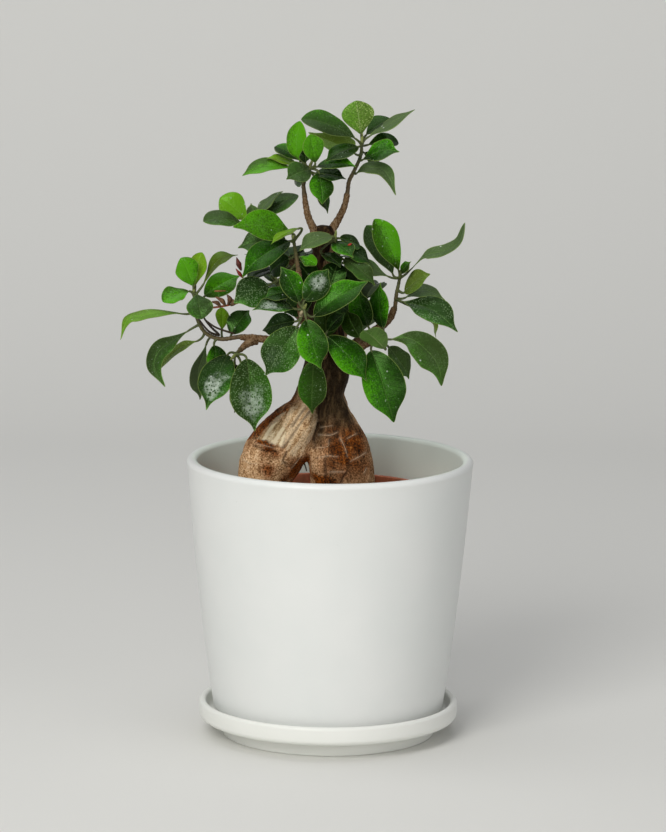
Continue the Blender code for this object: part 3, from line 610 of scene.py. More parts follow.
def makeNurseryPot(finish):
    # thin tapered wall with a turned-down rim and shallow ribs under it
    bottom, top, wall = nursery["bottom"], nursery["top"], nursery["wall"]
    beadLow = top - nursery["beadHeight"]
    floor = bottom + wall
    innerTop = nursery["radius"] - nursery["bead"] - wall
    outside = np.linspace(bottom + 2, beadLow - 0.5, 90)
    ribs = nursery["ribs"] * ease(nursery["ribsFrom"], beadLow, outside)
    wave = nursery["ribDepth"] * np.sin(pi * ribs) ** 2
    foot, rim, inner = nursery["footCorner"], nursery["beadCorner"], nursery["innerCorner"]
    profile = np.vstack([
        (1.0, bottom), arcOf(nursery["footRadius"] - foot, bottom + foot, foot, -90, -10, 4),
        np.stack([nurseryRadius(outside) - wave, outside], axis=1),
        (nurseryRadius(beadLow), beadLow), (nursery["radius"] - 0.4, beadLow + 0.1),
        (nursery["radius"], beadLow + 0.6),
        arcOf(nursery["radius"] - rim, top - rim, rim, 0, 90, 5),
        arcOf(innerTop + inner, top - inner, inner, 90, 180, 5),
        (nurseryRadius(floor) - wall, floor), (1.0, floor)])
    mesh = closedTurn("nursery_pot_plastic", profile, 6.0)
    cutters = Bundle()
    for angle in np.arange(nursery["drains"]) * 2 * pi / nursery["drains"]:
        x, y = nursery["drainRing"] * cos(angle), nursery["drainRing"] * sin(angle)
        path = [(x, y, bottom - 3), (x, y, bottom + 3)]
        cutters.add(tube(path, (nursery["drainRadius"],) * 2, 32))
    cutter = placed("drain_cutter", cutters.mesh("drain_cutter"))
    cut = applied(mesh, "BOOLEAN", operation="DIFFERENCE", object=cutter, solver="EXACT")
    bpy.data.objects.remove(cutter)
    addPiece("nursery_pot_plastic", cut, [finish], "nursery_plastic", "nursery_pot")


# the saucer's own lighter glaze: painted light
makeSaucer(glazeFinish("white_glaze_saucer_lightened", "saucer"))
makePot(glazeFinish("white_glaze_satin", "pot"))
makeNurseryPot(plasticFinish())
print("pots turned")


# soil
soil = {"top": 118.0, "crown": 1.2, "edge": 56.0, "rings": 110, "around": 220, "rough": 0.9,
        "crumbReach": 53.0, "seed": 5}
earths = {"clods": [(0.3, (0.012, 0.008, 0.006)), (0.55, (0.040, 0.024, 0.015)),
                    (0.8, (0.085, 0.052, 0.030))],
          "fibre": (0.16, 0.10, 0.055), "grain": (0.02, 0.013, 0.008)}
# lumps, bark chips and grit: count, range of sizes and of flatness, and tint
crumbKinds = [(850, (0.5, 1.3), (0.7, 1.0), (0.045, 0.028, 0.018)),
              (110, (1.4, 3.0), (0.25, 0.5), (0.13, 0.075, 0.042)),
              (90, (0.5, 1.1), (0.8, 1.0), (0.42, 0.40, 0.36))]


def soilFinish():
    # dark moist peat with lighter fibres
    earth = Finish("potting_soil_moist", Roughness=0.95)
    at = earth.place()
    clod = earth.noise(at, 260.0, detail=6.0, roughness=0.7)
    fibre = earth.noise(at, 1400.0, detail=3.0).ease(0.58, 0.72)
    colour = earth.ramp(clod, earths["clods"])
    earth.paint(Base_Color=earth.mix(fibre * 0.5, colour, earths["fibre"]))
    earth.bump(clod + fibre * 0.4, 0.0008)
    return earth


def crumbFinish():
    # each crumb's own tint, broken up by fine grain
    crumb = Finish("soil_crumb", Roughness=0.9)
    at = crumb.place()
    speck = crumb.noise(at, 1800.0, detail=4.0)
    crumb.paint(Base_Color=crumb.mix(speck * 0.7, crumb.tint(), earths["grain"]))
    crumb.bump(speck, 0.0003)
    return crumb


def soilHeight(x, y):
    # gentle crown with value-noise clods
    radius = np.hypot(x, y)
    flat = np.stack([x, y, 0 * x], axis=-1)
    lumps = roughGrain(flat, 7.0, soil["seed"], 4) * soil["rough"]
    edge = soil["edge"]
    return (soil["top"] + soil["crown"] * (1 - (radius / edge) ** 2)
            + lumps * ease(edge, edge - 6, radius))


def makeSoil(finish):
    # floor and wall as level rings, then the top as rings that shrink to the middle
    floor = nursery["bottom"] + nursery["wall"] + gap
    inset = nursery["wall"] + gap
    topRadius = nurseryRadius(soil["top"]) - inset
    spokes = np.linspace(topRadius, 0.6, soil["rings"])
    profile = np.vstack([(1.0, floor), (nurseryRadius(floor) - inset, floor),
                         np.stack([spokes, np.full(soil["rings"], soil["top"])], axis=1)])
    rings = turnedRings(profile, soil["around"])
    top = rings[3:]
    top[..., 2] = soilHeight(top[..., 0], top[..., 1])
    mesh = meshOf("soil_surface", *cappedRings(rings))
    addPiece("soil_surface", mesh, [finish], "soil", "soil", sharp=80)


def makeCrumbs(finish):
    # each a squashed and turned ball with jittered points
    draw = np.random.default_rng(soil["seed"])
    a = np.radians([-90, -35, 35, 90])
    ball = turnedRings(np.stack([np.cos(a[1:3]), np.sin(a[1:3])], axis=1), 6)
    points, quads, tris = cappedRings(ball)
    points[-2:] = ((0, 0, -1), (0, 0, 1))
    bundle = Bundle()
    for count, sizes, flatness, tint in crumbKinds:
        spot = draw.uniform(-55, 55, (count * 2, 2))
        spot = spot[np.hypot(spot[:, 0], spot[:, 1]) < soil["crumbReach"]][:count]
        count = len(spot)
        size = draw.uniform(*sizes, count)
        shape = size[:, None] * np.stack([np.ones(count), draw.uniform(0.5, 1, count),
                                          draw.uniform(*flatness, count)], axis=1)
        jitter = 1 + draw.uniform(-0.25, 0.25, (count, len(points), 1))
        spin = draw.uniform(0, 2 * pi, count)
        local = points[None] * jitter * shape[:, None, :]
        c, s = np.cos(spin)[:, None], np.sin(spin)[:, None]
        tilt = draw.uniform(-0.5, 0.5, (count, 1))
        x = local[..., 0] * c - local[..., 1] * s
        y = local[..., 0] * s + local[..., 1] * c
        z = local[..., 2] + local[..., 0] * tilt
        height = soilHeight(spot[:, 0], spot[:, 1]) + shape[:, 2] * 0.35
        world = np.stack([x + spot[:, :1], y + spot[:, 1:], z + height[:, None]], axis=-1)
        offset = (np.arange(count) * len(points))[:, None, None]
        tints = np.repeat(np.array(tint) * draw.uniform(0.6, 1.4, (count, 1)), len(points), axis=0)
        bundle.add((world.reshape(-1, 3), (quads[None] + offset).reshape(-1, 4),
                    (tris[None] + offset).reshape(-1, 3)), tint=tints)
    addPiece("soil_crumbs", bundle.mesh("soil_crumbs"), [finish], "soil", sharp=60)


makeSoil(soilFinish())
makeCrumbs(crumbFinish())
print("soil filled in")


# the tree's points are (x, z) as they line up with the plane y = 0 for the viewer, with their
# own depth y
def sighted(x, z, depth):
    # along the line from the eye through the point of the plane, to the depth
    share = (depth - eye[1]) / -eye[1]
    return eye + (np.array([x, 0.0, z]) - eye) * share


def sightedPath(points, count):
    # smooth path through sighted points
    return smoothPath([sighted(*point) for point in points], count)


def seen(points):
    # back along the lines to the eye, to the plane
    away = points - eye
    return eye + away * (-eye[1] / away[:, 1])[:, None]


# roots and trunk: rows of height, centre x and y, half width and half depth
limbs = {
    "left_root": [(102, -34, -2, 4, 4), (112, -35, -3, 6.5, 6.5), (122, -36, -4, 9.6, 9),
                  (131, -35.4, -4, 12.7, 11), (138, -33.2, -4, 15.2, 14), (145, -31, -4, 17, 16),
                  (152, -28, -4, 18, 17), (159, -25, -4, 17.4, 16.6), (165, -21.5, -4, 15.6, 15.4),
                  (171, -17.5, -3.5, 13, 13.8), (177, -12, -3, 9.5, 12), (184, -7, -2, 6, 9)],
    "right_root": [(101, 5, 0, 6, 6), (111, 6, -1, 10, 9), (122, 6.5, -2, 14, 12.5),
                   (132, 6.4, -2, 16.1, 15), (140, 5.6, -2, 16.8, 16.4), (148, 4.8, -2, 16.6, 16.6),
                   (155, 4.6, -2, 15.2, 15.6), (162, 4.6, -1.5, 12.6, 14.4), (168, 3, -1, 10.6, 13),
                   (174, 1, -1, 8.6, 11.6), (181, 0, -1, 7, 9)],
    "back_root": [(103, 12, 26, 4, 4), (115, 11, 25, 6.5, 6.5), (128, 8, 22, 8.5, 8.5),
                  (140, 4, 17, 9.5, 9.5), (152, 0, 11, 10, 10), (164, -3, 6, 9, 9),
                  (176, -4, 2, 7, 8)],
    "trunk": [(168, -9, -1.5, 12.6, 11.5), (175, -7.6, -1, 14, 12.4), (181, -5.6, -0.5, 13, 12),
              (188, -3, 0, 12.6, 11.6), (196, -1.6, 0, 12, 11), (206, -2.4, 0, 10.6, 10),
              (220, -3.4, 0, 9, 8.8), (240, -4.2, 0, 7.4, 7.4), (256, -4.6, 0, 6.2, 6.2),
              (266, -4.7, 0, 5.8, 5.8), (269.4, -4.7, 0, 4.2, 4.2)],
}
# woody branches: sighted points (x, z, depth) out to the green end, and the radius at each end
branches = {
    "A": ([(-3, 263, 1), (3.2, 273, 2), (6.3, 280, 3), (7.8, 287, 3)], 2.1, 1.35),
    "B": ([(-7, 262, -1), (-12, 273, -4), (-13.6, 279, -5), (-14.7, 287, -6)], 2.1, 1.3),
    "C": ([(-5, 240, 0), (-16, 248, -4), (-30, 255, -6), (-39, 262, -6)], 2.4, 1.3),
    "E": ([(-4, 246, -3), (-1, 253, -9), (1, 260, -13)], 1.8, 1.2),
    "F": ([(3, 200, 0), (18, 211, 3), (29.5, 220, 3), (33, 227, 2)], 3.4, 1.6),
    "G": ([(3, 198, -4), (12, 204, -14), (20, 208, -20), (23, 209, -24)], 3.0, 1.5),
    "H": ([(-4, 212, -4), (-11, 217, -24), (-15.4, 223, -35), (-16.3, 234, -33),
           (-17.5, 247, -26)], 2.8, 1.3),
    "I": ([(-6, 203, -4), (-20, 207, -9), (-36, 209.6, -11), (-48, 210.5, -12)], 3.2, 1.5),
    "O": ([(-40, 209.3, -11), (-45, 206, -15), (-48, 203, -19)], 1.8, 1.2),
    "N": ([(-3, 200, -4), (-5, 203, -18), (-6, 205, -26)], 2.0, 1.2),
    "J": ([(-5, 210, 3), (-16, 221, 16), (-22, 231, 26)], 2.8, 1.4),
    "K": ([(0, 206, 3), (8, 215, 18), (13, 224, 28)], 2.8, 1.4),
    "L": ([(-4, 222, 4), (-5, 232, 22), (-6, 242, 34)], 2.4, 1.3),
    "M": ([(-4.5, 232, 3), (-12, 240, 9), (-19, 245, 12)], 2.0, 1.2),
    "P": ([(-3, 196, 4), (-7, 203, 20), (-8, 208, 31)], 2.4, 1.3),
    "Q": ([(-4, 227, -3), (-4, 230, -10), (-4.4, 232, -14)], 1.9, 1.2),
}
# what the bark shows from the front, as sighted lines and outlines
bark = {
    "voxel": 0.62,
    "limbSides": 96,
    "branchSides": 16,
    "scar": [(-38.5, 156.5), (-34, 162), (-29, 168), (-22, 172.5), (-13, 178), (-7.5, 172),
             (-6.5, 165), (-9.5, 157), (-14, 150), (-19, 147.5), (-22.5, 150.5), (-27, 153),
             (-33, 155)],
    "bare": [(-37, 156.5), (-32, 163), (-27, 166.5), (-23, 161), (-25.5, 152.5), (-31, 155)],
    # cracks: dark fissures, and also the left root's crease, the cleft and the edge under the root's
    # overhang, where the near-black colour is painted shade
    "cracks": [[(-40.5, 152.8), (-36, 151.2), (-28, 149.2)], [(-2.6, 132), (-2.4, 138), (-2.9, 146)],
               [(9, 139), (7, 136), (6, 131)], [(-4.7, 177), (-6.4, 166), (-8.9, 152)],
               [(-11, 171), (-17, 163), (-24.5, 151.5)], [(-13, 174), (-20, 163.5)],
               [(-22.5, 149.5), (-24, 145), (-22, 141.5)]],
    "scratches": [[(-6, 159), (0, 158.8), (4, 160.6)], [(-8, 152), (-1.4, 152.8), (-0.8, 156)],
                  [(-7.6, 146.6), (-1, 147.8), (4, 147.4)], [(5, 157.5), (7.4, 153), (9, 147.6)],
                  [(10.5, 145), (15, 147.4), (18.4, 149.6)], [(-0.5, 139.2), (8, 139.4)],
                  [(8.5, 157), (13.5, 159.8)], [(-46, 145.6), (-42, 143.6), (-38.5, 143.2)],
                  [(-13, 152.8), (-15.4, 147.4), (-20.5, 140.6)], [(-26, 158), (-16, 170)],
                  [(17.5, 138.5), (19, 141.5)], [(-5, 163), (1, 164)], [(-39.5, 154.2), (-30, 152)],
                  [(-8.6, 161), (-11.5, 154)]],
    "threadRadius": 0.10,
    # rusty patches: strength, centre, size and power
    "rust": [(0.75, (8, 150), (15, 18), 4), (1, (7, 149), (8, 11), 2), (0.5, (-44, 158), (5, 9), 2)],
    "rootletDepth": -2.0,
    "rootletRadii": (0.55, 0.25),
    "rootlets": [[(-15, 146), (-13.4, 143.4), (-12.2, 139.6)], [(-14.5, 145), (-15.2, 141.5)]],
    "fibre": (0.846, 0.0, -0.533),      # across the fibres of the left root's front
    "seed": 21,
    "branchSeed": 40,
}


def insideOutline(flat, outline):
    # even-odd rule on sighted points
    outline = np.array(outline, float)
    inside = np.zeros(len(flat), bool)
    for (x0, z0), (x1, z1) in zip(outline, np.roll(outline, -1, axis=0)):
        spans = (flat[:, 2] < z0) != (flat[:, 2] < z1)
        at = x0 + (flat[:, 2] - z0) * (x1 - x0) / (z1 - z0 if z1 != z0 else 1e-9)
        inside ^= spans & (flat[:, 0] < at)
    return inside


def nearLines(flat, lines, width):
    # 1 on the sighted lines, falling off as a bell curve of the given width
    best = np.full(len(flat), 1e9)
    at = flat[:, [0, 2]]
    for line in lines:
        for start, end in zip(np.array(line, float), np.array(line[1:], float)):
            run = end - start
            share = np.clip((at - start) @ run / (run @ run), 0, 1)
            best = np.minimum(best, np.linalg.norm(at - start - share[:, None] * run, axis=1))
    return np.exp(-(best / width) ** 2)


def limbRings(rows, sides, extraRows=0):
    # level sections; three shallow flutes wind slowly round the limb
    rows = np.asarray(rows, float)
    if extraRows:
        rows = smoothPath(rows, extraRows)
    angles = np.arange(sides) * 2 * pi / sides
    z, cx, cy, halfX, halfY = (rows[:, k:k + 1] for k in range(5))
    flute = 1 + 0.045 * np.cos(3 * angles + 0.05 * z) + 0.02 * np.cos(5 * angles - 0.08 * z)
    return np.stack([cx + halfX * flute * np.cos(angles), cy + halfY * flute * np.sin(angles),
                     z + 0 * angles], axis=-1)


barkColours = {
    "wood": [(0.35, (0.11, 0.050, 0.019)), (0.42, (0.34, 0.170, 0.070)),
             (0.50, (0.66, 0.395, 0.195)), (0.62, (0.95, 0.70, 0.44))],
    "rusty": [(0.38, (0.020, 0.007, 0.002)), (0.49, (0.13, 0.036, 0.005)),
              (0.58, (0.38, 0.088, 0.005)), (0.68, (0.62, 0.30, 0.08))],
    "bare": [(0.32, (0.22, 0.120, 0.050)), (0.43, (0.60, 0.41, 0.21)), (0.55, (1.0, 0.84, 0.57))],
    # dark: the colour of the painted shade
    "dark": [(0.36, (0.004, 0.002, 0.0006)), (0.52, (0.016, 0.009, 0.0028)),
             (0.64, (0.085, 0.052, 0.022))],
    "pale": (0.62, 0.50, 0.36),
    "crack": (0.022, 0.012, 0.008),
}


def barkFinish():
    # brown bark by fibre noise, tan and speckled low down, painted over by the bark's masks; the
    # shade mask lays painted shade
    rind = Finish("fig_bark_rough", IOR=1.4, Specular_IOR_Level=0.15)
    at = rind.place()
    scar, rust, pale = rind.attribute("barkPaint")
    crack, shade, streak = rind.attribute("barkWear")
    fibre = rind.noise(rind.place((1.0, 1.0, 0.22)), 420.0, detail=5.0, roughness=0.62)
    speck = rind.noise(at, 1150.0, detail=3.0, roughness=0.6)
    patch = rind.noise(at, 130.0, detail=3.0)
    wood = rind.ramp(fibre * 0.28 + speck * 0.72, barkColours["wood"])
    rusty = rind.ramp(fibre * 0.35 + speck * 0.65, barkColours["rusty"])
    bare = rind.ramp(streak * 0.42 + speck * 0.36 + patch * 0.22, barkColours["bare"])
    dark = rind.ramp(fibre, barkColours["dark"])
    colour = rind.layers(wood, ((rust * (0.7 + patch * 1.2)).capped(), rusty), (scar, bare),
                         # shade lays the dark colour as painted shade
                         (shade, dark), (pale * 0.8, barkColours["pale"]),
                         # near-black crack colour: partly dark fissures, partly painted shade in the
                         # crease, the cleft and under the overhang
                         (crack * 0.85, barkColours["crack"]))
    rind.paint(Base_Color=colour, Roughness=0.62 + speck * 0.3)
    rind.bump(fibre * 0.7 + speck * 0.5 - crack * 0.6, 0.0006)
    return rind


def branchSurface(points, thick, thin, seed):
    # tapered tube with a flared foot, swollen rings at the old leaf scars and a little unevenness
    path = sightedPath(points, 72)
    run = runOf(path)
    radii = thick + (thin - thick) * run / run[-1]
    radii = radii * (1 + 0.10 * np.cos(2 * pi * run / 5.5) ** 8) + 1.3 * np.exp(-run / 5)
    radii *= np.sqrt(1 - ease(run[-1] - 1.3, run[-1] + 0.2, run) ** 2)
    rings = tubeRings(path, radii, bark["branchSides"])
    wobble = roughGrain(rings, 3.2, seed, 2) * 0.16
    return cappedRings(rings + unit(rings - path[:, None]) * wobble[..., None])


def limbMesh():
    # all fat limbs made one skin, then smoothed where they meet
    bundle = Bundle()
    for rows in limbs.values():
        bundle.add(cappedRings(limbRings(rows, bark["limbSides"], 90)))
    mesh = applied(bundle.mesh("limbs"), "REMESH", mode="VOXEL", voxel_size=bark["voxel"] * mm)
    points = spread(mesh, pointsOf(mesh), 9)
    mesh.vertices.foreach_set("co", (points * mm).astype(np.float32).ravel())
    mesh.update()
    return mesh


def barkMasks(mesh, points, normals):
    # soft masks for each vertex, from the sighted lines on the front and from noise all round; shade
    # is painted shade on the neck under the crown, the right root's front and the cleft
    flat = seen(points)
    front = ease(0.0, 0.35, -normals[:, 1])
    warp = flat + 0.5 * roughGrain(points, 3.0, bark["seed"])[:, None]
    scar = 0.44 * insideOutline(warp, bark["scar"]) + 0.56 * insideOutline(warp, bark["bare"])
    crack = nearLines(warp, bark["cracks"], 0.5) * 0.9
    pale = nearLines(flat, bark["scratches"], 0.55) * (0.25 + 0.25 * grain(points, 2.0, 3))
    masks = spread(mesh, np.stack([scar * front, crack * front, pale * front], axis=1), 1)
    x, z = flat[:, 0], flat[:, 2]
    rust = ease(-0.15, 0.6, roughGrain(points, 16.0, 31)) * 0.8
    for strength, *patch in bark["rust"]:
        rust = np.maximum(rust, strength * front * pill(x, z, *patch))
    # painted shade: the neck darkens upwards under the crown, from lower down on the right
    lower = 12 * front * ease(-13, -4, x)
    shade = ease(166, 186, points[:, 2] + lower + 6 * roughGrain(points, 9.0, 17))
    # painted shade on the front of the right root
    shade = np.maximum(shade, 0.35 * front * ease(-6, 1, x))
    # painted shade in the cleft between the roots
    cleft = front * np.exp(-((x + 4.2 - (z - 165) * 0.15) / 4.0) ** 2) * ease(146, 160, z)
    shade = np.clip(np.maximum(shade * 0.96, cleft * 0.95), 0, 1) * (1 - 0.4 * masks[:, 0])
    across = points @ np.array(bark["fibre"])
    streak = 0.5 + 0.5 * roughGrain(np.stack([across, points[:, 2] / 9, points[:, 1] / 6], axis=1),
                                    1.3, 8)
    return masks[:, 0], rust, masks[:, 2], masks[:, 1], shade, streak


def laidThreads(points, quads):
    # pale scratches: thin threads laid where the viewer's rays through the sighted lines meet
    # the skin
    skin = BVHTree.FromPolygons(points.tolist(), quads.tolist())
    for line in bark["scratches"]:
        path = smoothPath([(x, 0, z) for x, z in line], 22)
        hits = [skin.ray_cast(Vector(eye), Vector(point - eye).normalized()) for point in path]
        path = np.array([hit + normal * 0.03 for hit, normal, _, _ in hits if hit])
        radii = bark["threadRadius"] * (1.05 - np.linspace(-1, 1, len(path)) ** 4)
        yield tube(path, radii, 6)


def makeTrunk(finish):
    mesh = limbMesh()
    points, normals = pointsOf(mesh), readMesh(mesh.vertices, "normal", 3).astype(float)
    scar, rust, pale, crack, shade, streak = barkMasks(mesh, points, normals)
    fibres = grain(points * (1, 1, 0.16), 2.6, 4) * (0.18 + 0.3 * ease(160, 180, points[:, 2]))
    lumps = 0.55 * roughGrain(points, 11.0, 12) + 0.16 * roughGrain(points, 2.4, 14, 2)
    height = lumps + fibres - 1.1 * crack - 0.25 * scar + 0.3 * pale + 0.25 * scar * (streak - 0.5)
    moved = points + normals * height[:, None]
    quads = readMesh(mesh.loops, "vertex_index", 1, np.int32).reshape(-1, 4)
    bundle = Bundle()
    # wear numbers: crack, painted shade and fibre streak
    bundle.add((moved, quads, np.empty((0, 3), int)),
               barkPaint=np.stack([scar, rust, pale], axis=1),
               barkWear=np.stack([crack, shade, streak], axis=1))
    for thread in laidThreads(moved, quads):
        bundle.add(thread, barkPaint=(0.0, 0.0, 0.65), barkWear=(0.0, 0.0, 0.5))
    for line in bark["rootlets"]:
        path = sightedPath([(x, z, bark["rootletDepth"]) for x, z in line], 14)
        # rootlets darkened through the crack and shade numbers
        bundle.add(tube(path, np.linspace(*bark["rootletRadii"], 14), 8),
                   barkPaint=(0.0, 0.3, 0.0), barkWear=(0.7, 0.6, 0.5))
    for number, branch in enumerate(branches.values()):
        # branches take the dark bark colour through the shade number, at 0.74
        bundle.add(branchSurface(*branch, bark["branchSeed"] + number),
                   barkPaint=(0.0, 0.05, 0.0), barkWear=(0.0, 0.74, 0.5))
    addPiece("trunk_bark", bundle.mesh("trunk_bark"), [finish], "bark", "trunk", sharp=70)


makeTrunk(barkFinish())
print("trunk and branches grown")

